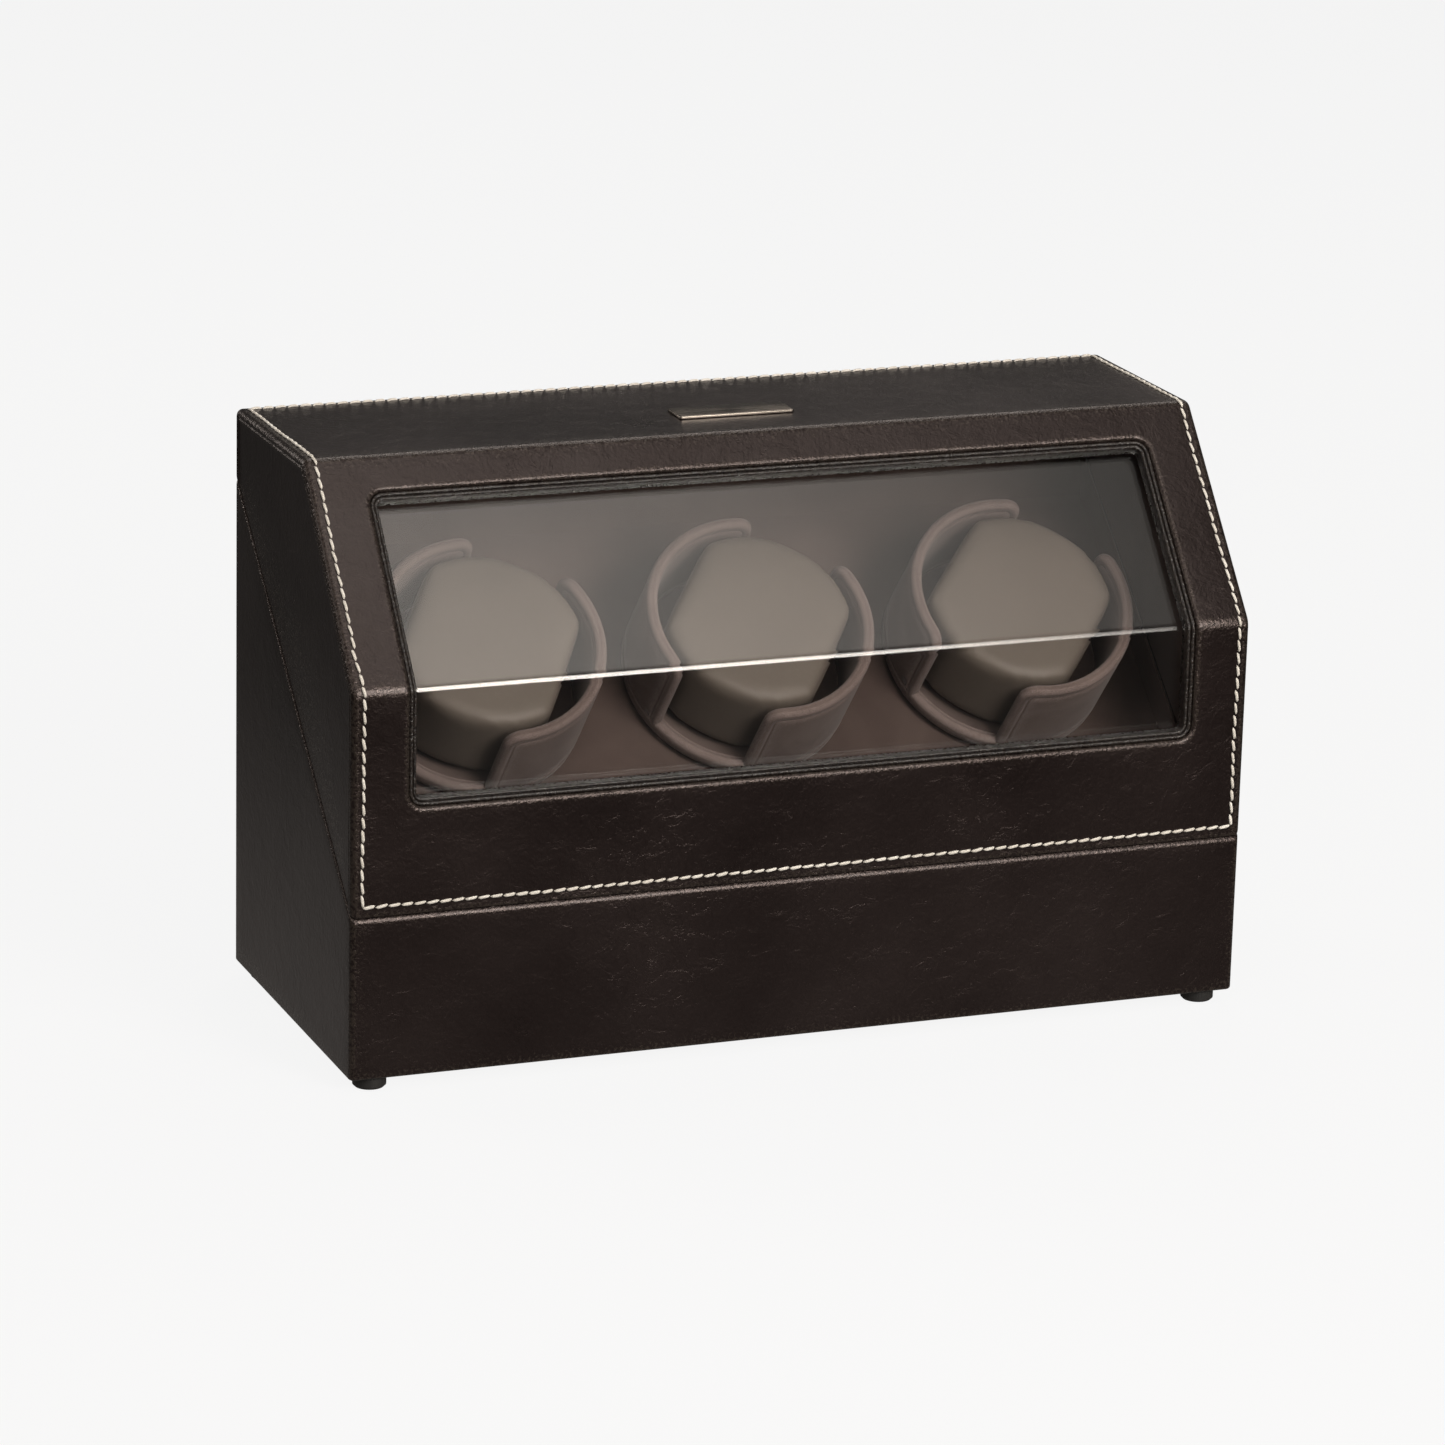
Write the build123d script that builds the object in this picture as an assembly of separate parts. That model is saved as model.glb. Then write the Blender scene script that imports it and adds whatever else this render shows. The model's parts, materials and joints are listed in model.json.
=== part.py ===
from build123d import *
import math
import os

# A watch winder box for three watches, in millimetres.
# +X is to the right, +Y to the back, +Z up, and the origin is on the table under the middle of the box.
# The box is split by a sloping plane into a base, which holds the drive, and a hinged lid with a window.

# Outer shape of the closed box
box_depth = 140.0
foot_height = 5.0
base_front_height = 58.6
lid_front_height = 82.0
slope_rise = 68.4
slope_run = 58.3
lid_back_height = 25.0
corner_round = 2.5

# Walls and linings
leather_thick = 1.2
board_thick = 7.8
velvet_thick = 1.0
lid_velvet_thick = 0.8
cover_thick = 3.0
split_gap = 0.8
lining_below_split = 1.5

# Window
window_side_margin = 21.0
window_sill = 39.1
window_head_margin = 13.7
window_corner = 5.5
pane_thick = 2.5
pane_overlap = 5.0
pane_clearance = 0.2
pane_back_gap = 0.2
pane_bend = 5.0
trim_width = 3.0
trim_depth = 1.0

# Cups and pillows
cup_pitch = 102.6
cup_radius = 42.5
cup_wall = 4.2
cup_floor = 3.5
cup_lip_round = 1.9
cup_side_room = 15.9
cup_front_room = 10.6
cup_turns = {"left": 60.0, "middle": 54.0, "right": 49.0}
notch_width = 33.0
notch_sill = 1.5
pillow_side_room = 0.8
pillow_floor_room = 0.4
pillow_flat_room = 7.8
pillow_proud = 0.5
pillow_round = 4.0

# Deck that carries the cups
deck_drop = 14.0
deck_thick = 5.0

# Cup shaft and its bush
hub_radius = 16.0
hub_thick = 2.0
hub_spigot_radius = 8.0
hub_gap = 0.1
shaft_radius = 4.0
shaft_tail = 3.0
running_gap = 0.05
seat_gap = 0.02
bush_radius = 7.0
bush_collar_radius = 9.0
bush_collar_rise = 1.4
bush_length = 12.4

# Belt drive
pulley_flange = 2.0
groove_width = 3.0
groove_lip = 3.3
cup_groove_radius = 22.7
motor_groove_radius = 5.9
pulley_boss_radius = 8.0
pulley_boss_rise = 2.4
belt_thick = 2.0
belt_height = 2.4
belt_gap = 0.1
belt_centres = 48.0
clip_groove_radius = 3.2
clip_radius = 6.5
clip_thick = 0.8
clip_mouth = 4.4

# Drive plate, standoffs and motors
plate_drop = 20.5
plate_thick = 1.5
plate_back_reach = 22.0
plate_front_reach = 22.0
plate_side_reach = 36.0
standoff_radius = 4.0
standoff_inset = 6.0
gearbox_radius = 17.0
gearbox_length = 14.0
motor_can_radius = 12.0
motor_can_length = 20.0
motor_boss_radius = 4.0
motor_boss_length = 2.0
motor_shaft_radius = 1.5
motor_shaft_seat = 6.0
motor_shaft_end = 1.0
motor_screw_reach = 13.0
plate_hole_radius = 3.0

# Control tray in the back, with its jack, switch and knob
tray_width = 84.0
tray_height = 40.0
tray_depth = 13.0
tray_wall = 1.6
tray_flange = 5.0
tray_flange_thick = 1.2
tray_centre_rise = 42.0
tray_fit = 0.2
tray_screw_rise = 12.0
control_spacing = 26.0
circuit_gap = 12.0
circuit_thick = 1.6
circuit_width = 72.0
circuit_height = 32.0
post_radius = 2.5
post_x = 32.0
post_z = 13.0
chip_size = (14.0, 3.0, 10.0)
capacitor_radius = 4.0
capacitor_length = 8.0
jack_block = 11.0
jack_neck_radius = 4.4
jack_neck_proud = 1.0
jack_bore_radius = 2.85
jack_bore_length = 10.6
bezel_width = 15.0
bezel_height = 21.0
bezel_thick = 1.8
switch_wall = 1.3
switch_lip = 1.0
switch_length = 11.0
rocker_gap = 0.2
rocker_reach = 7.95
rocker_root = 2.87
rocker_root_reach = 5.9
rocker_tip_depth = 0.82
rocker_tip_rise = 4.51
rocker_tip_reach = 6.72
rocker_waist_rise = 2.71
rocker_tilt = 8.0
rocker_pivot_depth = 1.1
rocker_pin_radius = 1.0
selector_size = 16.0
spindle_radius = 3.0
spindle_length = 8.0
knob_radius = 9.0
knob_height = 9.4
knob_lift = 0.6
knob_grooves = 18
knob_groove_radius = 0.8

# Hinges on the back
hinge_spacing = 210.0
hinge_width = 30.0
hinge_leaf_height = 11.0
hinge_leaf_thick = 1.0
knuckle_radius = 1.9
knuckle_gap = 0.2
lid_knuckle_width = 11.0
hinge_pin_radius = 0.9
pin_head_radius = 1.5
pin_head_thick = 0.6
hinge_screw_spread = 9.0
hinge_screw_rise = 7.0

# Screws, feet and the plate on the lid
screw_head_radius = 1.9
screw_shank_radius = 0.9
screw_length = 7.5
bolt_head_radius = 2.5
bolt_head_thick = 2.0
bolt_shank_radius = 1.2
bolt_length = 6.0
cover_screw_y = 45.0
foot_radius = 6.0
foot_chamfer = 0.8
foot_inset_x = 10.0
foot_inset_y = 8.8
badge_width = 44.0
badge_length = 13.5
badge_thick = 1.3
badge_setback = 21.0
badge_round = 0.8

# Worked-out sizes
wall = leather_thick + board_thick
pane_depth = wall - pane_thick - pane_back_gap
half_depth = box_depth / 2
half_width = cup_pitch + cup_radius + cup_side_room + wall
inner_x = half_width - wall
inner_y = half_depth - wall
front_split_height = foot_height + base_front_height
fold_height = front_split_height + lid_front_height
top_height = fold_height + slope_rise
back_split_height = top_height - lid_back_height
top_edge_y = slope_run - half_depth
slope_length = math.hypot(slope_run, slope_rise)
window_half_width = half_width - window_side_margin

split_rise = back_split_height - front_split_height
split_length = math.hypot(box_depth, split_rise)
split_sin = split_rise / split_length
split_cos = box_depth / split_length
split_middle = (front_split_height + back_split_height) / 2

# The rim of each cup stands as high over the split as the room to the front of the lid allows.
rim_rise = (inner_y - cup_front_room - cup_radius * split_cos) / split_sin
cup_bore_radius = cup_radius - cup_wall
cup_bottom = bush_collar_rise + hub_gap + hub_thick - deck_drop - velvet_thick
cup_floor_top = cup_bottom + cup_floor
hub_bottom = cup_bottom - hub_thick
deck_top = -deck_drop - velvet_thick
deck_bottom = deck_top - deck_thick
bush_bottom = deck_top + bush_collar_rise - bush_length
pulley_top = bush_bottom - hub_gap - pulley_boss_rise
groove_top = pulley_top - pulley_flange
belt_level = groove_top - groove_width / 2
pulley_bottom = groove_top - groove_width - pulley_flange
shaft_bottom = pulley_bottom - clip_thick - shaft_tail
plate_top = deck_bottom - plate_drop
plate_bottom = plate_top - plate_thick
gearbox_bottom = plate_bottom - gearbox_length

tray_z = foot_height + tray_centre_rise
tray_floor_out = half_depth - tray_depth + tray_wall
tray_floor_in = half_depth - tray_depth
circuit_back = tray_floor_in - circuit_gap
hinge_y = half_depth + knuckle_radius + running_gap
hinge_z = back_split_height

# cut_past is how far a cutting tool reaches past the face that it opens, and far is beyond the whole box.
cup_places = {"left": -cup_pitch, "middle": 0.0, "right": cup_pitch}
hinge_places = [-hinge_spacing / 2, hinge_spacing / 2]
both_sides = [-1, 1]
cut_past = 1.0
far = 2 * (half_width + top_height)

# The deck frame lies in the split plane: X to the right, Y up the slope, Z out of the box.
deck_frame = Plane(
    origin=(0, 0, split_middle), x_dir=(1, 0, 0), z_dir=(0, -split_sin, split_cos)
)
from_bottom = (Align.CENTER, Align.CENTER, Align.MIN)


# A convex outline in the YZ plane, listed clockwise, with each side moved inwards by its own distance.
def inset_outline(corners, insets):
    count = len(corners)
    lines = []
    for index in range(count):
        (y0, z0), (y1, z1) = corners[index], corners[(index + 1) % count]
        length = math.hypot(y1 - y0, z1 - z0)
        normal_y, normal_z = (z1 - z0) / length, (y0 - y1) / length
        offset = normal_y * y0 + normal_z * z0 + insets[index]
        lines.append((normal_y, normal_z, offset))
    moved = []
    for index in range(count):
        a, b, c = lines[index - 1]
        d, e, f = lines[index]
        moved.append(((c * e - b * f) / (a * e - b * d), (a * f - c * d) / (a * e - b * d)))
    return moved


# A solid of constant section along X.
def prism(outline, x_low, x_high):
    corners = [(x_low, y, z) for y, z in outline]
    section = make_face(Polyline(corners, close=True))
    return extrude(section, amount=x_high - x_low, dir=(1, 0, 0))


# The height at depth y of a plane that lies a given rise above the split.
def split_height(y, rise):
    return split_middle + (rise + split_sin * y) / split_cos


# A band parallel to the split, ending at vertical planes in front and behind.
def split_band(low, high, reach):
    return [
        (-reach, split_height(-reach, low)),
        (-reach, split_height(-reach, high)),
        (reach, split_height(reach, high)),
        (reach, split_height(reach, low)),
    ]


# The lid's outline at a depth under its outer faces; its fifth side is the open one, on the split.
def lid_outline(depth):
    corners = [
        (-half_depth, split_height(-half_depth, split_gap / 2)),
        (-half_depth, fold_height),
        (top_edge_y, top_height),
        (half_depth, top_height),
        (half_depth, split_height(half_depth, split_gap / 2)),
    ]
    return inset_outline(corners, [depth, depth, depth, depth, 0])


# The base's outline at a depth behind its front and back faces, from a floor height up to the split.
def base_outline(depth, floor):
    reach = half_depth - depth
    return [
        (-reach, floor),
        (-reach, split_height(-reach, -split_gap / 2)),
        (reach, split_height(reach, -split_gap / 2)),
        (reach, floor),
    ]


# A point a given way up the sloping face and a given depth under it.
def slope_point(way_up, depth):
    along_y, along_z = slope_run / slope_length, slope_rise / slope_length
    return (
        -half_depth + along_y * way_up + along_z * depth,
        fold_height + along_z * way_up - along_y * depth,
    )


# The window's shape as a block through the front and the slope, grown by a margin on every side.
def window_block(margin, outer_depth, inner_depth):
    sill = front_split_height + window_sill - margin
    head = slope_length - window_head_margin + margin
    reach = window_half_width + margin
    outline = [
        (-half_depth + outer_depth, sill),
        lid_outline(outer_depth)[1],
        slope_point(head, outer_depth),
        slope_point(head, inner_depth),
        lid_outline(inner_depth)[1],
        (-half_depth + inner_depth, sill),
    ]
    block = prism(outline, -reach, reach)
    middle = (outer_depth + inner_depth) / 2
    corner_marks = [(-half_depth + middle, sill), slope_point(head, middle)]
    corners = []
    for side in both_sides:
        for y, z in corner_marks:
            corners.append(block.edges().sort_by_distance((side * reach, y, z))[0])
    return fillet(corners, window_corner + margin)


# A disc or post in the deck frame, between two levels, with its axis across the deck.
def deck_post(x, up, low, high, radius):
    return deck_frame * Pos(x, up, low) * Cylinder(radius, high - low, align=from_bottom)


# A frame that looks out of the back of the box, with its origin at depth y.
def back_frame(x, y, z):
    return Location(Plane(origin=(x, y, z), x_dir=(-1, 0, 0), z_dir=(0, 1, 0)))


# A countersunk screw with the flat of its head at the origin and its shank along -Z.
def wood_screw():
    head_height = screw_head_radius - screw_shank_radius
    head = Cone(screw_shank_radius, screw_head_radius, head_height)
    shank_length = screw_length - head_height
    shank = Pos(0, 0, -screw_length) * Cylinder(screw_shank_radius, shank_length, align=from_bottom)
    return Pos(0, 0, -head_height / 2) * head + shank


# A pan-head bolt with the seat of its head at the origin and its shank along -Z.
def machine_bolt():
    head = Cylinder(bolt_head_radius, bolt_head_thick, align=from_bottom)
    shank = Pos(0, 0, -bolt_length) * Cylinder(bolt_shank_radius, bolt_length, align=from_bottom)
    return head + shank


def cut_all(body, cutters):
    for cutter in cutters:
        body = body - cutter
    return body


# ---- Screws, which are also the holes they sit in ----

def bottom_screws():
    wall_middle = inner_x + board_thick / 2
    end_middle = inner_y + board_thick / 2
    spots = [(side * wall_middle, end * cover_screw_y) for side in both_sides for end in both_sides]
    spots += [(0, side * end_middle) for side in both_sides]
    facing_down = Rot(180, 0, 0)
    return [Pos(x, y, foot_height) * facing_down * wood_screw() for x, y in spots]


def tray_screws():
    reach = tray_width / 2 + tray_flange / 2
    out = half_depth + tray_flange_thick
    return [
        back_frame(side * reach, out, tray_z + end * tray_screw_rise) * wood_screw()
        for side in both_sides
        for end in both_sides
    ]


def hinge_screws(above):
    level = hinge_z + above * hinge_screw_rise
    out = half_depth + hinge_leaf_thick
    return [
        back_frame(x + side * hinge_screw_spread, out, level) * wood_screw()
        for x in hinge_places
        for side in both_sides
    ]


def standoff_spots():
    outer = cup_pitch + plate_side_reach - standoff_inset
    back = plate_back_reach - standoff_inset
    front = standoff_inset - belt_centres - plate_front_reach
    across = [-outer, -cup_pitch / 2, cup_pitch / 2, outer]
    return [(x, up) for x in across for up in (front, back)]


def drive_bolts():
    bolts = []
    for x, up in standoff_spots():
        bolts.append(deck_frame * Pos(x, up, plate_bottom) * Rot(180, 0, 0) * machine_bolt())
    for x in cup_places.values():
        for side in both_sides:
            place = Pos(x + side * motor_screw_reach, -belt_centres, plate_top)
            bolts.append(deck_frame * place * machine_bolt())
    return bolts


# ---- Base ----

def base_front_board():
    y_out = half_depth - leather_thick
    outline = base_outline(leather_thick, foot_height + cover_thick)
    board = prism(outline, -inner_x, inner_x)
    keep = Pos(0, -(y_out + inner_y) / 2, 0) * Box(far, board_thick, far)
    return cut_all(board & keep, bottom_screws())


def base_back_board():
    y_out = half_depth - leather_thick
    outline = base_outline(leather_thick, foot_height + cover_thick)
    board = prism(outline, -inner_x, inner_x)
    keep = Pos(0, (y_out + inner_y) / 2, 0) * Box(far, board_thick, far)
    screws = bottom_screws() + tray_screws() + hinge_screws(-1)
    return cut_all((board & keep) - tray_opening(), screws)


def base_side_board(side):
    outline = base_outline(leather_thick, foot_height + cover_thick)
    low, high = sorted([side * inner_x, side * (half_width - leather_thick)])
    return cut_all(prism(outline, low, high), bottom_screws())


def bottom_cover():
    width = 2 * (half_width - leather_thick)
    depth = 2 * (half_depth - leather_thick)
    cover = Pos(0, 0, foot_height) * Box(width, depth, cover_thick, align=from_bottom)
    return cut_all(cover, bottom_screws())


def base_leather_cover():
    outside = prism(base_outline(0, foot_height), -half_width, half_width)
    outside = fillet(outside.edges().filter_by(Axis.Z), corner_round)
    inside_x = half_width - leather_thick
    inside = prism(base_outline(leather_thick, foot_height), -inside_x, inside_x)
    return cut_all(outside - inside - tray_opening(), tray_screws() + hinge_screws(-1))


def deck_board():
    deck = prism(split_band(deck_bottom, deck_top, inner_y), -inner_x, inner_x)
    holes = [
        deck_post(x, 0, deck_bottom - cut_past, deck_top + cut_past, bush_radius + running_gap)
        for x in cup_places.values()
    ]
    return cut_all(deck, holes)


def deck_lining():
    outer = prism(split_band(deck_top, -lining_below_split, inner_y), -inner_x, inner_x)
    inner_reach = inner_x - velvet_thick
    inner_band = split_band(-deck_drop, deck_drop, inner_y - velvet_thick)
    holes = [
        deck_post(x, 0, deck_top - cut_past, cut_past - deck_drop, bush_collar_radius + running_gap)
        for x in cup_places.values()
    ]
    return cut_all(outer - prism(inner_band, -inner_reach, inner_reach), holes)


def rubber_feet():
    foot = Cylinder(foot_radius, foot_height, align=from_bottom)
    foot = chamfer(foot.edges().sort_by(Axis.Z)[0], foot_chamfer)
    x, y = half_width - foot_inset_x, half_depth - foot_inset_y
    return [Pos(side * x, end * y, 0) * foot for side in both_sides for end in both_sides]


# ---- Drive under the deck ----

def shaft_bushes():
    bushes = []
    for x in cup_places.values():
        bush = deck_post(x, 0, bush_bottom, deck_top, bush_radius)
        bush += deck_post(x, 0, deck_top, deck_top + bush_collar_rise, bush_collar_radius)
        bore = deck_post(x, 0, bush_bottom - cut_past, 0, shaft_radius + running_gap)
        bushes.append(bush - bore)
    return bushes


def drive_plate():
    reach = cup_pitch + plate_side_reach
    front = -belt_centres - plate_front_reach
    length = plate_back_reach - front
    plate = Pos(0, (plate_back_reach + front) / 2, plate_bottom) * Box(
        2 * reach, length, plate_thick, align=from_bottom
    )
    plate = deck_frame * plate
    holes = [
        deck_post(x, -belt_centres, plate_bottom - cut_past, plate_top + cut_past, plate_hole_radius)
        for x in cup_places.values()
    ]
    return cut_all(plate, holes + drive_bolts())


def plate_standoffs():
    bolts = drive_bolts()
    return [
        cut_all(deck_post(x, up, plate_top, deck_bottom, standoff_radius), bolts)
        for x, up in standoff_spots()
    ]


def gear_motor(x):
    up = -belt_centres
    motor = deck_post(x, up, gearbox_bottom, plate_bottom, gearbox_radius)
    can_bottom = gearbox_bottom - motor_can_length
    motor += deck_post(x, up, can_bottom, gearbox_bottom, motor_can_radius)
    motor += deck_post(x, up, can_bottom - motor_boss_length, can_bottom, motor_boss_radius)
    seat = plate_bottom - motor_shaft_seat - hub_gap
    motor -= deck_post(x, up, seat, plate_bottom + cut_past, motor_shaft_radius + running_gap)
    return cut_all(motor, drive_bolts())


# A pulley with a square groove, between its two flanges.
def grooved_pulley(x, up, groove_radius):
    flange_radius = groove_radius + groove_lip
    pulley = deck_post(x, up, pulley_bottom, pulley_top, flange_radius)
    groove = deck_post(x, up, groove_top - groove_width, groove_top, flange_radius + cut_past)
    groove -= deck_post(x, up, groove_top - groove_width, groove_top, groove_radius)
    return pulley - groove


def motor_pulley(x):
    up = -belt_centres
    pulley = grooved_pulley(x, up, motor_groove_radius)
    seat = plate_bottom - motor_shaft_seat
    return pulley + deck_post(x, up, seat, pulley_top + motor_shaft_end, motor_shaft_radius)


# The flat outline of a belt's run, at a distance outside the two grooves.
def belt_outline(distance):
    big, small = cup_groove_radius + distance, motor_groove_radius + distance
    lean_sin = (big - small) / belt_centres
    lean_cos = math.sqrt(1 - lean_sin**2)
    corners = [
        (big * lean_cos, -big * lean_sin),
        (small * lean_cos, -belt_centres - small * lean_sin),
        (-small * lean_cos, -belt_centres - small * lean_sin),
        (-big * lean_cos, -big * lean_sin),
    ]
    sides = make_face(Polyline(corners, close=True))
    return Circle(big) + Pos(0, -belt_centres) * Circle(small) + sides


def drive_belts():
    ring = belt_outline(belt_gap + belt_thick) - belt_outline(belt_gap)
    belt = extrude(ring, amount=belt_height)
    level = belt_level - belt_height / 2
    return [deck_frame * Pos(x, 0, level) * belt for x in cup_places.values()]


# ---- Cups, which turn ----

def cup_shell(name):
    height = rim_rise - cup_bottom
    shell = Cylinder(cup_radius, height, align=from_bottom)
    bore_height = height - cup_floor
    shell -= Pos(0, 0, cup_floor) * Cylinder(cup_bore_radius, bore_height, align=from_bottom)
    rim = shell.faces().sort_by(Axis.Z)[-1]
    shell = fillet(rim.edges(), cup_lip_round)
    shell -= Cylinder(hub_spigot_radius + seat_gap, 2 * cup_floor)
    notch_low = cup_floor + notch_sill
    notch = Box(far, notch_width, height, align=from_bottom)
    shell -= Pos(0, 0, notch_low) * notch
    place = Pos(cup_places[name], 0, cup_bottom) * Rot(0, 0, cup_turns[name])
    return deck_frame * place * shell


def cup_hub(x):
    hub = deck_post(x, 0, hub_bottom, cup_bottom, hub_radius)
    hub += deck_post(x, 0, cup_bottom, cup_floor_top, hub_spigot_radius)
    hub += deck_post(x, 0, shaft_bottom, hub_bottom, shaft_radius)
    groove = deck_post(x, 0, pulley_bottom - clip_thick, pulley_bottom, shaft_radius + cut_past)
    groove -= deck_post(x, 0, pulley_bottom - clip_thick, pulley_bottom, clip_groove_radius)
    return hub - groove


def cup_pulley(x):
    pulley = grooved_pulley(x, 0, cup_groove_radius)
    pulley += deck_post(x, 0, pulley_top, pulley_top + pulley_boss_rise, pulley_boss_radius)
    return pulley - deck_post(x, 0, pulley_bottom - cut_past, 0, shaft_radius + seat_gap)


def retaining_clip(x):
    low = pulley_bottom - clip_thick
    clip = deck_post(x, 0, low, pulley_bottom, clip_radius)
    clip -= deck_post(x, 0, low - cut_past, pulley_bottom + cut_past, clip_groove_radius + seat_gap)
    mouth = Pos(x, -clip_radius, low - cut_past) * Box(
        clip_mouth, 2 * clip_radius, clip_thick + 2 * cut_past, align=from_bottom
    )
    return clip - deck_frame * mouth


def watch_pillow(name):
    low = cup_floor_top + pillow_floor_room
    height = rim_rise + pillow_proud - low
    radius = cup_bore_radius - pillow_side_room
    across = 2 * (cup_bore_radius - pillow_flat_room)
    section = (Rot(0, 0, 90) * Circle(radius)) & Rectangle(far, across)
    pillow = extrude(section, amount=height)
    ends = pillow.faces().filter_by(Plane.XY)
    pillow = fillet(ends.edges(), pillow_round)
    place = Pos(cup_places[name], 0, low) * Rot(0, 0, cup_turns[name])
    return deck_frame * place * pillow


# ---- Lid ----

def lid_board(side_index):
    outer, inner = lid_outline(leather_thick), lid_outline(wall)
    outline = [outer[side_index], outer[side_index + 1], inner[side_index + 1], inner[side_index]]
    return prism(outline, -inner_x, inner_x)


def windowed_board(side_index):
    board = lid_board(side_index) - window_block(0, -wall, 2 * wall)
    rebate = window_block(pane_overlap + pane_clearance, pane_depth - pane_clearance, 2 * wall)
    return board - rebate


def lid_side_board(side):
    low, high = sorted([side * inner_x, side * (half_width - leather_thick)])
    return prism(lid_outline(leather_thick), low, high)


def lid_leather_cover():
    outside = prism(lid_outline(0), -half_width, half_width)
    round_edges = [edge for edge in outside.edges() if not on_split(edge)]
    outside = fillet(round_edges, corner_round)
    inside_x = half_width - leather_thick
    inside = prism(lid_outline(leather_thick), -inside_x, inside_x)
    cover = outside - inside - window_block(0, -wall, 2 * wall)
    return cut_all(cover, hinge_screws(1))


# Whether an edge lies in the lid's open side.
def on_split(edge):
    middle = edge.center()
    return abs(middle.Z - split_height(middle.Y, split_gap / 2)) < split_gap


def lid_lining():
    outer = prism(lid_outline(wall), -inner_x, inner_x)
    inner_reach = inner_x - lid_velvet_thick
    inner = prism(lid_outline(wall + lid_velvet_thick), -inner_reach, inner_reach)
    return outer - inner - window_block(0, -wall, 2 * wall)


def window_pane():
    pane = window_block(pane_overlap, pane_depth, pane_depth + pane_thick)
    outer_y, outer_z = lid_outline(pane_depth)[1]
    inner_y_fold, inner_z_fold = lid_outline(pane_depth + pane_thick)[1]
    outer_fold = pane.edges().sort_by_distance((0, outer_y, outer_z))[0]
    pane = fillet(outer_fold, pane_bend)
    inner_fold = pane.edges().sort_by_distance((0, inner_y_fold, inner_z_fold))[0]
    return fillet(inner_fold, pane_bend - pane_thick)


def window_trim():
    ring = window_block(0, trim_depth, pane_depth)
    return ring - window_block(-trim_width, -wall, 2 * wall)


def blank_plate():
    plate = Box(badge_width, badge_length, badge_thick, align=from_bottom)
    plate = fillet(plate.edges().filter_by(Axis.Z), badge_round)
    y = top_edge_y + badge_setback + badge_length / 2
    return Pos(0, y, top_height) * plate


# ---- Hinges ----

# A round bar along X on the hinge's axis.
def hinge_bar(x, radius, length):
    return Pos(x, hinge_y, hinge_z) * Rot(0, 90, 0) * Cylinder(radius, length)


# One hinge leaf: knuckles join the plate, and it is cut back round the other leaf's knuckles.
def hinge_leaf(x, above, own_bars, other_bars):
    plate_middle = hinge_z + above * (hinge_leaf_height + split_gap) / 2
    plate = Pos(x, half_depth + hinge_leaf_thick / 2, plate_middle) * Box(
        hinge_width, hinge_leaf_thick, hinge_leaf_height
    )
    neck_height = knuckle_radius
    neck_z = hinge_z + above * neck_height / 2
    necks = []
    for bar_x, length in own_bars:
        neck_place = Pos(bar_x, half_depth + hinge_leaf_thick / 2, neck_z)
        necks.append(neck_place * Box(length, hinge_leaf_thick, neck_height))
        necks.append(hinge_bar(bar_x, knuckle_radius, length))
    for neck in necks:
        plate += neck
    for bar_x, length in other_bars:
        plate -= hinge_bar(bar_x, knuckle_radius + knuckle_gap, length + 2 * knuckle_gap)
    plate -= hinge_bar(x, hinge_pin_radius + running_gap, 2 * hinge_width)
    return cut_all(plate, hinge_screws(above))


def hinge_knuckles(x):
    side_width = (hinge_width - lid_knuckle_width) / 2 - knuckle_gap
    side_x = (hinge_width - side_width) / 2
    base_bars = [(x + side * side_x, side_width) for side in both_sides]
    return base_bars, [(x, lid_knuckle_width)]


def hinge_base_leaves():
    leaves = []
    for x in hinge_places:
        base_bars, lid_bars = hinge_knuckles(x)
        leaves.append(hinge_leaf(x, -1, base_bars, lid_bars))
    return leaves


def hinge_lid_leaves():
    leaves = []
    for x in hinge_places:
        base_bars, lid_bars = hinge_knuckles(x)
        leaves.append(hinge_leaf(x, 1, lid_bars, base_bars))
    return leaves


def hinge_pins():
    pins = []
    for x in hinge_places:
        pin = hinge_bar(x, hinge_pin_radius, hinge_width)
        for side in both_sides:
            head_x = x + side * (hinge_width + pin_head_thick) / 2
            pin += hinge_bar(head_x, pin_head_radius, pin_head_thick)
        pins.append(pin)
    return pins


# ---- Controls in the back ----

def tray_opening():
    width, height = tray_width + 2 * tray_fit, tray_height + 2 * tray_fit
    return Pos(0, half_depth, tray_z) * Box(width, 4 * tray_depth, height)


def control_tray():
    shell_y = half_depth - tray_depth / 2
    shell = Pos(0, shell_y, tray_z) * Box(tray_width, tray_depth, tray_height)
    flange = Pos(0, half_depth + tray_flange_thick / 2, tray_z) * Box(
        tray_width + 2 * tray_flange, tray_flange_thick, tray_height + 2 * tray_flange
    )
    hollow_depth = 2 * (tray_depth - tray_wall)
    hollow = Pos(0, half_depth, tray_z) * Box(
        tray_width - 2 * tray_wall, hollow_depth, tray_height - 2 * tray_wall
    )
    tray = shell + flange - hollow
    for side in both_sides:
        for end in both_sides:
            post = Cylinder(post_radius, circuit_gap, align=from_bottom)
            tray += back_frame(side * post_x, circuit_back, tray_z + end * post_z) * post
    tray -= back_frame(-control_spacing, circuit_back, tray_z) * Cylinder(
        jack_neck_radius + running_gap, 2 * tray_depth + circuit_gap
    )
    tray -= back_frame(control_spacing, circuit_back, tray_z) * Cylinder(
        spindle_radius + tray_fit, 2 * tray_depth + circuit_gap
    )
    width = bezel_width - 2 * switch_lip + 2 * running_gap
    height = bezel_height - 2 * switch_lip + 2 * running_gap
    tray -= Pos(0, tray_floor_in, tray_z) * Box(width, 4 * tray_wall, height)
    return cut_all(tray, tray_screws())


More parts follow.
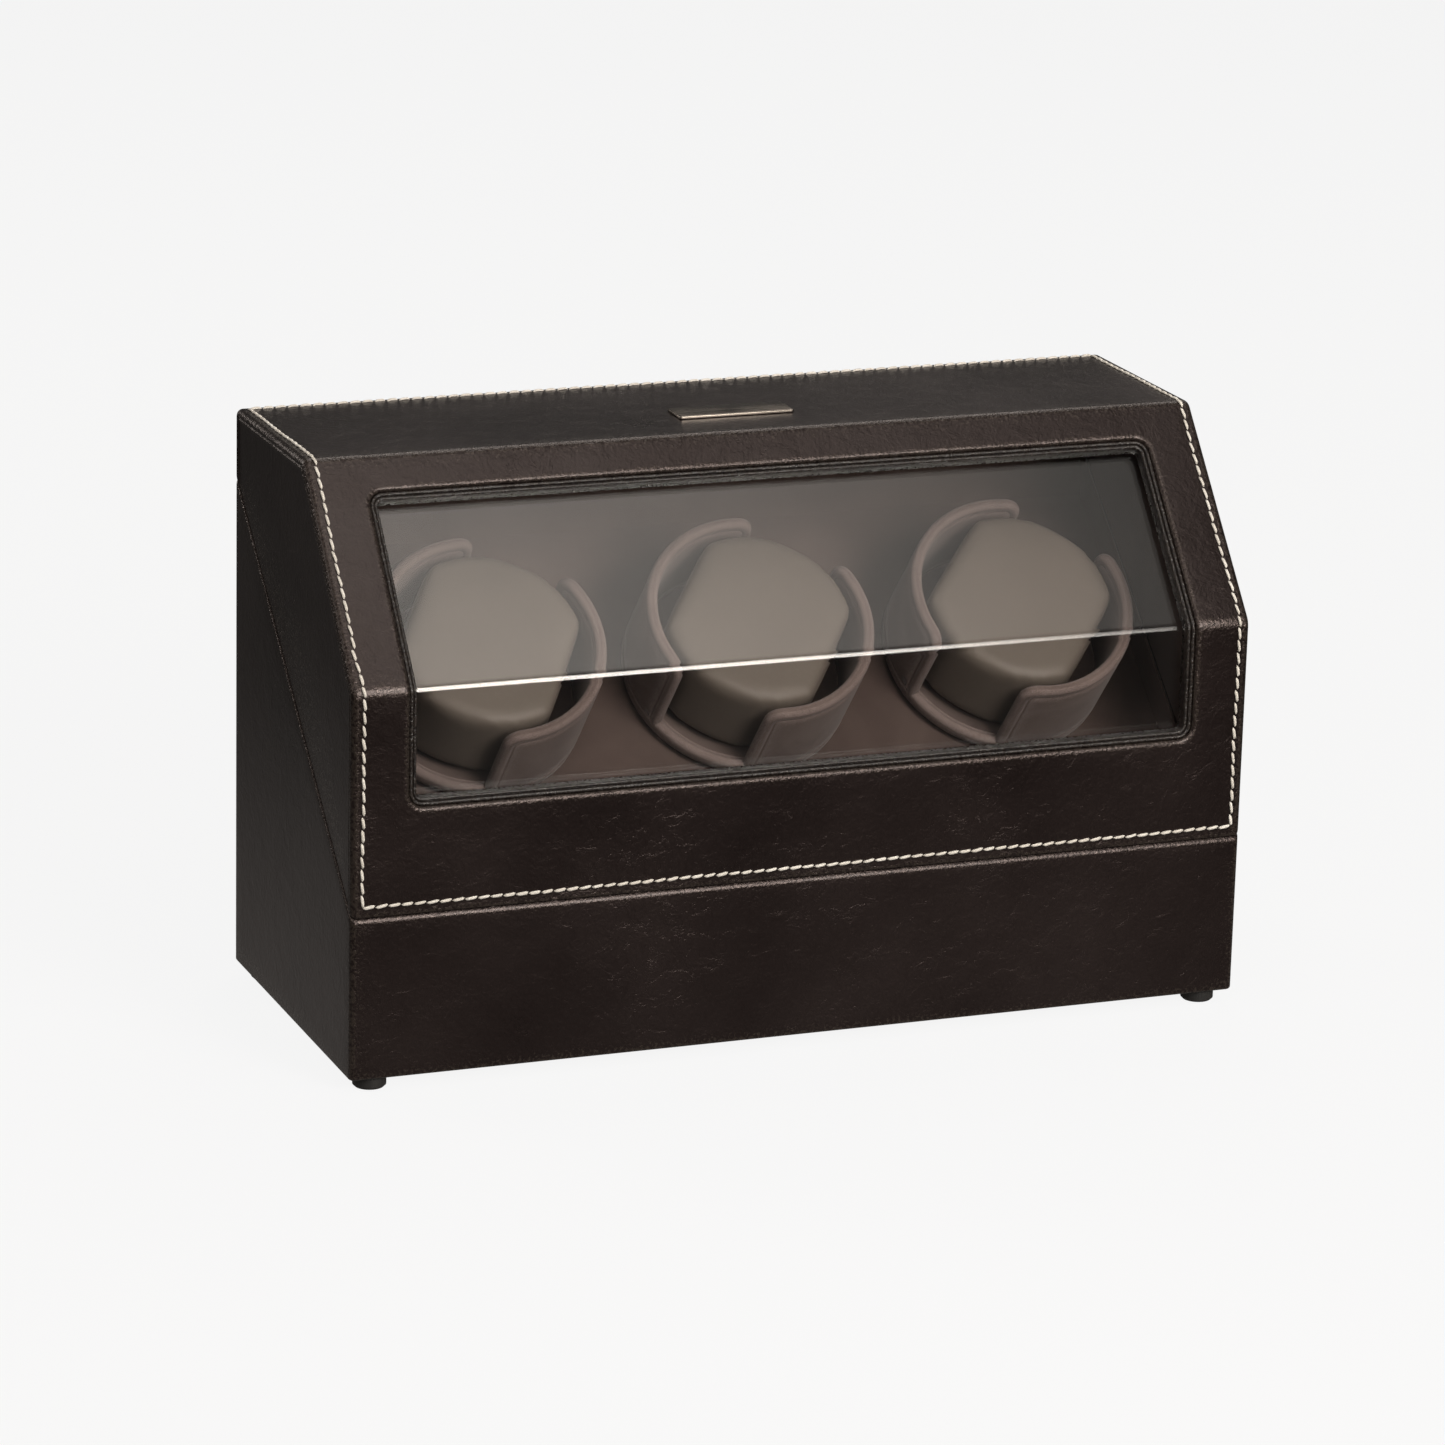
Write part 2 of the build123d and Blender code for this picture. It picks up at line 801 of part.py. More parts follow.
def dc_jack():
    block = Pos(-control_spacing, (circuit_back + tray_floor_in) / 2, tray_z) * Box(
        jack_block, circuit_gap, jack_block
    )
    neck_length = tray_wall + jack_neck_proud
    mouth = back_frame(-control_spacing, tray_floor_in, tray_z)
    neck = mouth * Cylinder(jack_neck_radius, neck_length, align=from_bottom)
    bore = Pos(0, 0, neck_length - jack_bore_length) * Cylinder(
        jack_bore_radius, jack_bore_length, align=from_bottom
    )
    return block + neck - mouth * bore


def switch_housing():
    bezel_y = tray_floor_out + bezel_thick / 2
    housing = Pos(0, bezel_y, tray_z) * Box(bezel_width, bezel_thick, bezel_height)
    width, height = bezel_width - 2 * switch_lip, bezel_height - 2 * switch_lip
    body_y = tray_floor_out - switch_length / 2
    housing += Pos(0, body_y, tray_z) * Box(width, switch_length, height)
    hollow_length = switch_length - switch_wall + bezel_thick
    hollow_y = tray_floor_out + bezel_thick - hollow_length / 2
    housing -= Pos(0, hollow_y, tray_z) * Box(
        width - 2 * switch_wall, hollow_length, height - 2 * switch_wall
    )
    pin_length = width - switch_wall
    housing -= rocker_pin(rocker_pin_radius + running_gap, pin_length)
    return housing


def rocker_pin(radius, length):
    pivot = Pos(0, tray_floor_out - rocker_pivot_depth, tray_z)
    return pivot * Rot(0, 90, 0) * Cylinder(radius, length)


# The rocker's outline has its root inside the housing, a tip at each end and a waist between them.
# It rests tilted one way, and its ends are short enough to swing inside the housing.
def power_rocker():
    profile = [
        (-rocker_root, -rocker_root_reach),
        (-rocker_root, rocker_root_reach),
        (rocker_tip_depth, rocker_reach),
        (rocker_tip_rise, rocker_tip_reach),
        (rocker_waist_rise, 0.0),
        (rocker_tip_rise, -rocker_tip_reach),
        (rocker_tip_depth, -rocker_reach),
    ]
    pivot_y = tray_floor_out - rocker_pivot_depth
    half = (bezel_width - 2 * switch_lip) / 2 - switch_wall - rocker_gap
    rocker = prism(profile, -half, half)
    rocker = Pos(0, pivot_y, tray_z) * Rot(-rocker_tilt, 0, 0) * rocker
    pin_length = bezel_width - 2 * switch_lip - switch_wall - rocker_gap
    return rocker + rocker_pin(rocker_pin_radius, pin_length)


def selector_body():
    body = Pos(control_spacing, (circuit_back + tray_floor_in) / 2, tray_z) * Box(
        selector_size, circuit_gap, selector_size
    )
    bore = Cylinder(spindle_radius + running_gap, 2 * spindle_length + 2 * hub_gap)
    return body - back_frame(control_spacing, tray_floor_in, tray_z) * bore


def mode_knob():
    frame = back_frame(control_spacing, tray_floor_out + knob_lift, tray_z)
    knob = Cylinder(knob_radius, knob_height, align=from_bottom)
    for index in range(knob_grooves):
        turn = Rot(0, 0, index * 360 / knob_grooves)
        knob -= turn * Pos(knob_radius, 0, 0) * Cylinder(knob_groove_radius, far)
    spindle_reach = spindle_length + tray_wall + knob_lift
    knob += Pos(0, 0, -spindle_reach) * Cylinder(spindle_radius, spindle_reach, align=from_bottom)
    return frame * knob


def circuit_board():
    board_y = circuit_back - circuit_thick / 2
    board = Pos(0, board_y, tray_z) * Box(circuit_width, circuit_thick, circuit_height)
    chip_y = circuit_back - circuit_thick - chip_size[1] / 2
    board += Pos(control_spacing / 2, chip_y, tray_z) * Box(*chip_size)
    capacitor = Cylinder(capacitor_radius, capacitor_length, align=from_bottom)
    face = Plane(origin=(-control_spacing, circuit_back - circuit_thick, tray_z), z_dir=(0, -1, 0))
    return board + face * capacitor


# ---- Every node, with its solids ----

nodes = {
    "base_front_board": base_front_board(),
    "base_back_board": base_back_board(),
    "base_left_board": base_side_board(-1),
    "base_right_board": base_side_board(1),
    "bottom_cover": bottom_cover(),
    "base_leather_cover": base_leather_cover(),
    "deck_board": deck_board(),
    "deck_lining": deck_lining(),
    "rubber_feet": rubber_feet(),
    "base_screws": bottom_screws() + tray_screws() + hinge_screws(-1),
    "shaft_bushes": shaft_bushes(),
    "drive_plate": drive_plate(),
    "plate_standoffs": plate_standoffs(),
    "drive_bolts": drive_bolts(),
    "drive_belts": drive_belts(),
    "hinge_base_leaves": hinge_base_leaves(),
    "hinge_pins": hinge_pins(),
    "control_tray": control_tray(),
    "dc_jack": dc_jack(),
    "switch_housing": switch_housing(),
    "power_rocker": power_rocker(),
    "selector_body": selector_body(),
    "mode_knob": mode_knob(),
    "circuit_board": circuit_board(),
    "lid_front_board": windowed_board(0),
    "lid_slope_board": windowed_board(1),
    "lid_top_board": lid_board(2),
    "lid_back_board": cut_all(lid_board(3), hinge_screws(1)),
    "lid_left_board": lid_side_board(-1),
    "lid_right_board": lid_side_board(1),
    "lid_leather_cover": lid_leather_cover(),
    "lid_lining": lid_lining(),
    "window_pane": window_pane(),
    "window_trim": window_trim(),
    "blank_plate": blank_plate(),
    "hinge_lid_leaves": hinge_lid_leaves(),
    "lid_hinge_screws": hinge_screws(1),
}
for name, x in cup_places.items():
    nodes[f"cup_shell_{name}"] = cup_shell(name)
    nodes[f"cup_hub_{name}"] = cup_hub(x)
    nodes[f"cup_pulley_{name}"] = cup_pulley(x)
    nodes[f"retaining_clip_{name}"] = retaining_clip(x)
    nodes[f"watch_pillow_{name}"] = watch_pillow(name)
    nodes[f"gear_motor_{name}"] = gear_motor(x)
    nodes[f"motor_pulley_{name}"] = motor_pulley(x)

os.makedirs("parts", exist_ok=True)
for name, shape in nodes.items():
    if isinstance(shape, list):
        shape = Compound(children=shape)
    export_step(shape, f"parts/{name}.step")
print(len(nodes), "nodes")
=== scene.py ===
import json
import math
import random

import bmesh
import bpy
from mathutils import Matrix, Vector
from mathutils.geometry import delaunay_2d_cdt


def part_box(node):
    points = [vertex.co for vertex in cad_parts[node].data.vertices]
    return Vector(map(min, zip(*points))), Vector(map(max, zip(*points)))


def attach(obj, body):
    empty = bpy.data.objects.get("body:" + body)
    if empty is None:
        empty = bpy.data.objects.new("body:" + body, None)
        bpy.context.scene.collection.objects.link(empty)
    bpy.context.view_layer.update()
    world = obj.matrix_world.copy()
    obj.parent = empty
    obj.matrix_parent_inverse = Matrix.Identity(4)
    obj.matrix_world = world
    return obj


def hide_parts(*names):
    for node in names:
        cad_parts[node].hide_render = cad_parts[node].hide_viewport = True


# A leather watch winder box: lid with a bent window, three velvet cups with leather pillows.
# Mesh sizes are in millimetres, and newPiece makes metres of them; camera and lights are in
# metres.
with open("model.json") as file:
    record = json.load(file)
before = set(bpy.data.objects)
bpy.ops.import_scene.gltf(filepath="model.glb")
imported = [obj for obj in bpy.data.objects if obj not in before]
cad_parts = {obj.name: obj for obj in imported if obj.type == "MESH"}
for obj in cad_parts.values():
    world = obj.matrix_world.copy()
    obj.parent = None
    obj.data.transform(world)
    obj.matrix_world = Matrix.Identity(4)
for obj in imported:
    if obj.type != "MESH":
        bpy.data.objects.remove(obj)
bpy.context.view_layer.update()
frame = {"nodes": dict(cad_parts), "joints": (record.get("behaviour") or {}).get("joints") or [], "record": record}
scene = bpy.context.scene
mm = 0.001
weldReach = 0.004 * mm
crispAngle = math.radians(40)  # edges sharper than this stay crisp on the pane and the plate
cupNames = ("left", "middle", "right")
sides = (-1, 1)


def boxOf(node):
    low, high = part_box(node)
    return low / mm, high / mm


# the (y, z) corners of a flat side board, clockwise from the lower front one
def boardCorners(node):
    points = frame["nodes"][node].data.vertices
    spots = {(round(v.co.y / mm, 3), round(v.co.z / mm, 3)) for v in points}
    midY = sum(y for y, z in spots) / len(spots)
    midZ = sum(z for y, z in spots) / len(spots)
    turn = {p: math.atan2(p[1] - midZ, p[0] - midY) % math.tau for p in spots}
    return sorted(spots, key=lambda p: -turn[p])


# moves each side of an outline outwards by its own distance
def growOutline(corners, distances):
    lines = []
    for index, (y0, z0) in enumerate(corners):
        y1, z1 = corners[(index + 1) % len(corners)]
        long = math.hypot(y1 - y0, z1 - z0)
        ny, nz = (z0 - z1) / long, (y1 - y0) / long
        lines.append((ny, nz, ny * y0 + nz * z0 + distances[index]))
    grown = []
    for index, (d, e, f) in enumerate(lines):
        a, b, c = lines[index - 1]
        cross = a * e - b * d
        grown.append(((c * e - b * f) / cross, (a * f - c * d) / cross))
    return grown


halfWidth, halfDepth = boxOf("lid_leather_cover")[1].xy
leather = halfWidth - boxOf("lid_right_board")[1].x
lidCorners = growOutline(boardCorners("lid_left_board"), [leather] * 4 + [0])
lidRimSlope = (lidCorners[4][1] - lidCorners[0][1]) / (lidCorners[4][0] - lidCorners[0][0])
joints = {joint["name"]: joint for joint in frame["joints"]}
cupAxis = Vector(joints["cup_spin_left"]["axis"])
splitHeight = joints["cup_spin_middle"]["pos_m"][2] / mm
print("frame read: half width", round(halfWidth, 2), "half depth", round(halfDepth, 2))


# height of the plane that parts lid and base, moved up by a gap measured square to it
def splitAt(y, gap):
    return splitHeight + y * lidRimSlope + gap / cupAxis.z


# the nearest point to (x, y) that keeps an inset from the box's sides
def nearestInside(x, y, inset):
    reachX, reachY = halfWidth - inset, halfDepth - inset
    return min(max(x, -reachX), reachX), min(max(y, -reachY), reachY)


def addObject(name, data):
    made = bpy.data.objects.new(name, data)
    scene.collection.objects.link(made)
    return made


def openMesh(mesh):
    work = bmesh.new()
    work.from_mesh(mesh)
    return work


def closeMesh(work, mesh):
    bmesh.ops.remove_doubles(work, verts=work.verts, dist=weldReach)
    bmesh.ops.dissolve_degenerate(work, edges=work.edges, dist=weldReach)
    bmesh.ops.recalc_face_normals(work, faces=work.faces)
    work.to_mesh(mesh)
    work.free()


# puts a mesh in the scene as a piece that rides on a body and may stand for a CAD node
def placeMesh(name, mesh, material, body, node=None):
    mesh.name = name
    mesh.materials.clear()
    mesh.materials.append(material)
    mesh.shade_smooth()
    piece = addObject(name, mesh)
    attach(piece, body)
    if node:
        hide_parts(node)
    return piece


def newPiece(name, shape, material, body, node=None):
    points, faces = shape
    mesh = bpy.data.meshes.new(name)
    mesh.from_pydata([Vector(p) * mm for p in points], [], faces)
    closeMesh(openMesh(mesh), mesh)
    return placeMesh(name, mesh, material, body, node)


# how worn each point is, which also places the painted edge highlight: full where the surface turns outwards by
# this many degrees
def markWear(piece, fullTurn):
    work = openMesh(piece.data)
    wornAndHighlight = []
    for vert in work.verts:
        turns = [e.calc_face_angle_signed() for e in vert.link_edges if len(e.link_faces) == 2]
        wornAndHighlight.append(min(1.0, max([0.0] + turns) / math.radians(fullTurn)))
    work.free()
    piece.data.attributes.new("wearAndHighlight", "FLOAT", "POINT").data.foreach_set("value", wornAndHighlight)


# Nodes, groups and materials
def addNode(tree, kind, inputs, **settings):
    made = tree.nodes.new("ShaderNode" + kind)
    for key, value in settings.items():
        setattr(made, key, value)
    for key, value in inputs.items():
        if isinstance(value, bpy.types.NodeSocket):
            tree.links.new(value, made.inputs[key])
        else:
            made.inputs[key].default_value = value
    return made


def maths(tree, operation, first, second=0.0):
    return addNode(tree, "Math", {0: first, 1: second}, operation=operation).outputs[0]


def product(tree, first, *others):
    for other in others:
        first = maths(tree, "MULTIPLY", first, other)
    return first


# adds values up, each times its own share
def total(tree, *terms):
    result = None
    for value, share in terms:
        scaled = value if share == 1 else product(tree, value, share)
        result = scaled if result is None else maths(tree, "ADD", result, scaled)
    return result


def remap(tree, value, fromLow, fromHigh, toLow=0.0, toHigh=1.0):
    span = {"From Min": fromLow, "From Max": fromHigh, "To Min": toLow, "To Max": toHigh}
    return addNode(tree, "MapRange", {"Value": value, **span}).outputs[0]


def noise(tree, place, scale, detail, roughness=0.5, distortion=0.0):
    inputs = {"Vector": place, "Scale": scale, "Detail": detail}
    return addNode(
        tree, "TexNoise", {**inputs, "Roughness": roughness, "Distortion": distortion}
    ).outputs[0]


# stretches a pattern along an axis where its share is small
def stretched(tree, place, shares):
    return addNode(tree, "VectorMath", {0: place, 1: shares}, operation="MULTIPLY").outputs[0]


def cells(tree, place, scale, feature="F1"):
    made = addNode(tree, "TexVoronoi", {"Vector": place, "Scale": scale}, feature=feature)
    return made.outputs["Distance"]


# a Mix node's sockets 6 and 7 take colours, and 2 gives the mixed one
def mixColours(tree, share, first, second):
    inputs = {"Factor": share, 6: first, 7: second}
    return addNode(tree, "Mix", inputs, data_type="RGBA").outputs[2]


def objectPlace(tree):
    return addNode(tree, "TexCoord", {}).outputs["Object"]


def startGroup(name, **inputs):
    tree = bpy.data.node_groups.new(name, "ShaderNodeTree")
    for key, value in inputs.items():
        socket = tree.interface.new_socket(key, in_out="INPUT", socket_type="NodeSocketFloat")
        socket.default_value = value
    for key in ("Tone", "Height"):
        tree.interface.new_socket(key, in_out="OUTPUT", socket_type="NodeSocketFloat")
    return tree, tree.nodes.new("NodeGroupInput").outputs, objectPlace(tree)


def endGroup(tree, tone, height):
    made = tree.nodes.new("NodeGroupOutput")
    tree.links.new(tone, made.inputs["Tone"])
    tree.links.new(height, made.inputs["Height"])
    return tree


# fine hide: pebbles, short wandering creases that come and go, and a few scuffs
def leatherGrain():
    tree, given, place = startGroup(
        "leatherGrain", Grain=1000.0, Creases=0.5, Scuffs=0.5, Waves=3.5
    )
    pebbles = cells(tree, place, given["Grain"], "SMOOTH_F1")
    fine = noise(tree, place, scale=700.0, detail=5.0, roughness=0.6)
    waves = noise(tree, place, scale=120.0, detail=5.0, roughness=0.62, distortion=0.7)
    patches = noise(tree, place, scale=24.0, detail=3.0)
    broad = noise(tree, place, scale=13.0, detail=6.0)
    offMiddle = maths(tree, "ABSOLUTE", maths(tree, "SUBTRACT", waves, 0.5))
    creases = remap(tree, offMiddle, 0.0, 0.035, 1.0, 0.0)
    creases = product(tree, creases, remap(tree, patches, 0.35, 0.7), given["Creases"])
    strokes = noise(tree, stretched(tree, place, (0.12, 1.0, 1.0)), scale=520.0, detail=4.0)
    strokes = remap(tree, strokes, 0.58, 0.78)
    strokes = product(tree, strokes, remap(tree, patches, 0.4, 0.75), given["Scuffs"])
    height = total(tree, (pebbles, 0.4), (fine, 1.3), (waves, given["Waves"]), (creases, -0.7))
    tone = remap(tree, total(tree, (broad, 0.75), (fine, 0.25)), 0.33, 0.67, 0.0, 0.8)
    tone = total(tree, (tone, 1), (creases, -0.3), (strokes, 1))
    return endGroup(tree, remap(tree, tone, 0.0, 1.0), height)


# cracked marks along convex edges, driven by each piece's wear mark: real wear in the bump and gloss, plus a
# lighter colour that is partly wear and partly a painted highlight
def edgeWear():
    tree, given, place = startGroup("edgeWear", Wear=0.0, Crack=900.0)
    cracks = remap(tree, noise(tree, place, scale=given["Crack"], detail=3.0), 0.36, 0.64)
    mask = remap(tree, total(tree, (given["Wear"], 0.9), (cracks, 1)), 1.08, 1.4)
    return endGroup(tree, mask, product(tree, cracks, given["Wear"]))


# short pile, brushed lighter and darker in patches
def velvetPile():
    tree, given, place = startGroup("velvetPile", Pile=2200.0, Patches=45.0)
    tufts = noise(tree, place, scale=given["Pile"], detail=2.0)
    brushed = noise(tree, place, scale=given["Patches"], detail=3.0, distortion=0.8)
    tone = remap(tree, total(tree, (brushed, 0.75), (tufts, 0.25)), 0.3, 0.7)
    return endGroup(tree, tone, total(tree, (tufts, 1), (brushed, 0.5)))


# lines left by brushing or turning, with broad stains
def brushMarks():
    tree, given, place = startGroup("brushMarks", Fine=300.0, Stretch=0.02)
    shares = {"X": given["Stretch"], "Y": 1.0, "Z": 1.0}
    drawn = stretched(tree, place, addNode(tree, "CombineXYZ", shares).outputs[0])
    lines = noise(tree, drawn, scale=given["Fine"], detail=8.0, roughness=0.7)
    stains = noise(tree, place, scale=60.0, detail=4.0)
    tone = remap(tree, total(tree, (lines, 0.6), (stains, 0.4)), 0.3, 0.7)
    return endGroup(tree, tone, lines)


# fine moulded texture with a little dust in it
def mouldTexture():
    tree, given, place = startGroup("mouldTexture", Fine=1500.0, Dust=0.3)
    fine = noise(tree, place, scale=given["Fine"], detail=2.0)
    dust = remap(tree, noise(tree, place, scale=90.0, detail=5.0), 0.45, 0.75)
    return endGroup(tree, total(tree, (fine, 0.3), (dust, given["Dust"])), fine)


# pressed fibres, with darker flecks
def boardFibre():
    tree, given, place = startGroup("boardFibre", Fibre=500.0, Flecks=0.4)
    fibres = noise(tree, place, given["Fibre"], detail=7.0, roughness=0.75, distortion=1.5)
    flecks = remap(tree, cells(tree, place, 700.0), 0.0, 0.25, 1.0, 0.0)
    flecks = product(tree, flecks, given["Flecks"])
    return endGroup(tree, total(tree, (remap(tree, fibres, 0.25, 0.75), 1), (flecks, -1)), fibres)


reliefs = {
    "leather": leatherGrain(),
    "wearAndHighlight": edgeWear(),
    "velvet": velvetPile(),
    "brushed": brushMarks(),
    "moulded": mouldTexture(),
    "fibre": boardFibre(),
}


def startMaterial(name):
    material = bpy.data.materials.new(name)
    material.use_nodes = True
    return material, material.node_tree


# a finish takes its tone, gloss and relief from one group; fixed values go on the shader itself
def makeFinish(name, look):
    material, tree = startMaterial(name)
    shader = tree.nodes["Principled BSDF"]
    kind, values = look["relief"]
    relief = addNode(tree, "Group", values, node_tree=reliefs[kind])
    tone, height = relief.outputs["Tone"], relief.outputs["Height"]
    smooth, dull = look["roughness"]
    colour = mixColours(tree, tone, (*look["dark"], 1), (*look["light"], 1))
    gloss = remap(tree, tone, 0.0, 1.0, smooth, dull)
    if "wornAndHighlight" in look:
        marked = addNode(tree, "Attribute", {}, attribute_name="wearAndHighlight").outputs["Fac"]
        values = {"Wear": marked, "Crack": look.get("crack", 900.0)}
        wearAndHighlight = addNode(tree, "Group", values, node_tree=reliefs["wearAndHighlight"])
        mask = product(tree, wearAndHighlight.outputs["Tone"], look["wornAndHighlightAmount"])
        # lighter colour on convex edges: partly real wear, partly a painted highlight
        colour = mixColours(tree, mask, colour, (*look["wornAndHighlight"], 1))
        polished = {"Factor": mask, "A": gloss, "B": smooth * 0.7}
        gloss = addNode(tree, "Mix", polished).outputs[0]
        height = total(tree, (height, 1), (wearAndHighlight.outputs["Height"], look["wornHeight"]))
    strength, deep = look["bump"]
    bumps = {"Height": height, "Strength": strength, "Distance": deep * mm}
    made = {
        "Base Color": colour,
        "Roughness": gloss,
        "Normal": addNode(tree, "Bump", bumps).outputs["Normal"],
    }
    if "coat" in look:
        made["Coat Weight"] = remap(tree, tone, 0.0, 1.0, *look["coat"])
    for key, socket in made.items():
        tree.links.new(socket, shader.inputs[key])
    for key, value in look.get("sockets", {}).items():
        shader.inputs[key].default_value = value
    return material


# relief is a group and its values; dark, light and roughness follow its tone
# bump is a strength and a height
# the edge colour and its amount are partly wear and partly a painted highlight on convex edges and rims
finishes = {
    "caseLeather": {
        "relief": ("leather", {"Grain": 1000.0, "Creases": 0.6, "Scuffs": 0.1, "Waves": 3.8}),
        "dark": (0.0032, 0.0015, 0.0015), "light": (0.0098, 0.0058, 0.0053),
        "roughness": (0.27, 0.4), "coat": (0.0, 0.4), "bump": (0.5, 0.2),
        "wornAndHighlight": (0.034, 0.027, 0.022), "wornAndHighlightAmount": 0.7, "wornHeight": 1.2,
        "sockets": {
            "Specular IOR Level": 0.5, "Specular Tint": (1.0, 0.81, 0.765, 1.0),
            "Coat Roughness": 0.24,
        },
    },
    "trimLeather": {
        "relief": ("leather", {"Grain": 1500.0, "Creases": 0.3, "Scuffs": 0.2}),
        "dark": (0.006, 0.0038, 0.0035), "light": (0.014, 0.01, 0.0085),
        "roughness": (0.3, 0.42), "bump": (0.7, 0.2),
        "wornAndHighlight": (0.04, 0.032, 0.027), "wornAndHighlightAmount": 0.7, "wornHeight": 1.6,
        "sockets": {"Specular IOR Level": 0.5, "Coat Weight": 0.1, "Coat Roughness": 0.25},
    },
    "pillowLeather": {
        "relief": ("leather", {"Grain": 1500.0, "Creases": 0.1, "Scuffs": 0.1, "Waves": 2.0}),
        "dark": (0.112, 0.092, 0.076), "light": (0.142, 0.119, 0.1),
        "roughness": (0.5, 0.6), "bump": (0.12, 0.1),
        "sockets": {"Specular IOR Level": 0.35},
    },
    "cupVelvet": {
        "relief": ("velvet", {"Pile": 2600.0, "Patches": 40.0}),
        "dark": (0.095, 0.069, 0.062), "light": (0.16, 0.12, 0.108),
        "roughness": (0.85, 0.98), "bump": (0.3, 0.2),
        # rims painted lighter: partly wear, partly a painted highlight where the rims catch the light
        "wornAndHighlight": (0.27, 0.215, 0.2), "wornAndHighlightAmount": 0.8, "wornHeight": 0.2, "crack": 5200.0,
        "sockets": {"Specular IOR Level": 0.1, "Sheen Weight": 0.12, "Sheen Roughness": 0.4},
    },
    "liningVelvet": {
        "relief": ("velvet", {"Pile": 2400.0, "Patches": 30.0}),
        "dark": (0.066, 0.045, 0.039), "light": (0.1, 0.072, 0.063),
        "roughness": (0.88, 1.0), "bump": (0.3, 0.2),
        "sockets": {"Specular IOR Level": 0.1, "Sheen Weight": 0.06, "Sheen Roughness": 0.5},
    },
    "stitchThread": {
        "relief": ("moulded", {"Fine": 2500.0, "Dust": 0.7}),
        "dark": (0.72, 0.67, 0.59), "light": (0.95, 0.92, 0.85),
        "roughness": (0.6, 0.8), "bump": (0.6, 0.15),
        "sockets": {"Sheen Weight": 0.3, "Sheen Roughness": 0.4},
    },
    "caseBoard": {
        "relief": ("fibre", {}),
        "dark": (0.24, 0.16, 0.09), "light": (0.46, 0.34, 0.22),
        "roughness": (0.75, 0.95), "bump": (0.4, 0.2),
    },
    "feetRubber": {
        "relief": ("moulded", {"Fine": 1300.0, "Dust": 0.35}),
        "dark": (0.008, 0.008, 0.008), "light": (0.05, 0.047, 0.043),
        "roughness": (0.6, 0.85), "bump": (0.35, 0.1),
    },
    "nickelSteel": {
        "relief": ("brushed", {"Fine": 500.0, "Stretch": 0.25}),
        "dark": (0.42, 0.39, 0.35), "light": (0.64, 0.61, 0.56),
        "roughness": (0.24, 0.42), "bump": (0.15, 0.05),
        "sockets": {"Metallic": 1.0},
    },
    "zincSteel": {
        "relief": ("brushed", {"Fine": 260.0, "Stretch": 0.6}),
        "dark": (0.4, 0.41, 0.42), "light": (0.66, 0.67, 0.66),
        "roughness": (0.3, 0.5), "bump": (0.12, 0.05),
        "sockets": {"Metallic": 1.0},
    },
    "motorSteel": {
        "relief": ("brushed", {"Fine": 400.0, "Stretch": 0.1}),
        "dark": (0.3, 0.3, 0.31), "light": (0.55, 0.55, 0.56),
        "roughness": (0.25, 0.4), "bump": (0.12, 0.05),
        "sockets": {"Metallic": 1.0},
    },
    "plateNickel": {
        "relief": ("brushed", {"Fine": 900.0, "Stretch": 0.015}),
        "dark": (0.19, 0.163, 0.14), "light": (0.32, 0.285, 0.25),
        "roughness": (0.22, 0.32), "bump": (0.15, 0.03),
        "sockets": {"Metallic": 1.0, "Anisotropic": 0.4},
    },
    "controlPlastic": {
        "relief": ("moulded", {"Fine": 1800.0, "Dust": 0.3}),
        "dark": (0.009, 0.009, 0.01), "light": (0.045, 0.043, 0.042),
        "roughness": (0.34, 0.55), "bump": (0.3, 0.06),
    },
    "acetal": {
        "relief": ("moulded", {"Fine": 1200.0, "Dust": 0.4}),
        "dark": (0.72, 0.71, 0.66), "light": (0.5, 0.48, 0.42),
        "roughness": (0.35, 0.55), "bump": (0.2, 0.05),
        "sockets": {"Subsurface Weight": 0.15, "Subsurface Scale": 0.002},
    },
    "greenLaminate": {
        "relief": ("fibre", {"Fibre": 900.0, "Flecks": 0.1}),
        "dark": (0.012, 0.08, 0.03), "light": (0.03, 0.17, 0.07),
        "roughness": (0.3, 0.45), "bump": (0.15, 0.05),
    },
}
finish = {name: makeFinish(name, look) for name, look in finishes.items()}
acrylic = {
    "clean": (0.97, 0.965, 0.955, 1), "smeared": (0.93, 0.925, 0.915, 1),
    "sockets": {"Roughness": 0.0, "IOR": 1.49, "Transmission Weight": 1.0},
}


# clear acrylic with faint smears; lamps shine straight through it
def makeAcrylic():
    material, tree = startMaterial("windowAcrylic")
    shader = tree.nodes["Principled BSDF"]
    for key, value in acrylic["sockets"].items():
        shader.inputs[key].default_value = value
    smears = remap(tree, noise(tree, objectPlace(tree), scale=22.0, detail=4.0), 0.4, 0.75)
    tint = mixColours(tree, smears, acrylic["clean"], acrylic["smeared"])
    tree.links.new(tint, shader.inputs["Base Color"])
    path = addNode(tree, "LightPath", {})
    clear = addNode(tree, "BsdfTransparent", {}).outputs[0]
    surface = shader.outputs[0]
    for ray in ("Is Diffuse Ray", "Is Shadow Ray"):
        inputs = {0: path.outputs[ray], 1: surface, 2: clear}
        surface = addNode(tree, "MixShader", inputs).outputs[0]
    tree.links.new(surface, tree.nodes["Material Output"].inputs["Surface"])
    return material


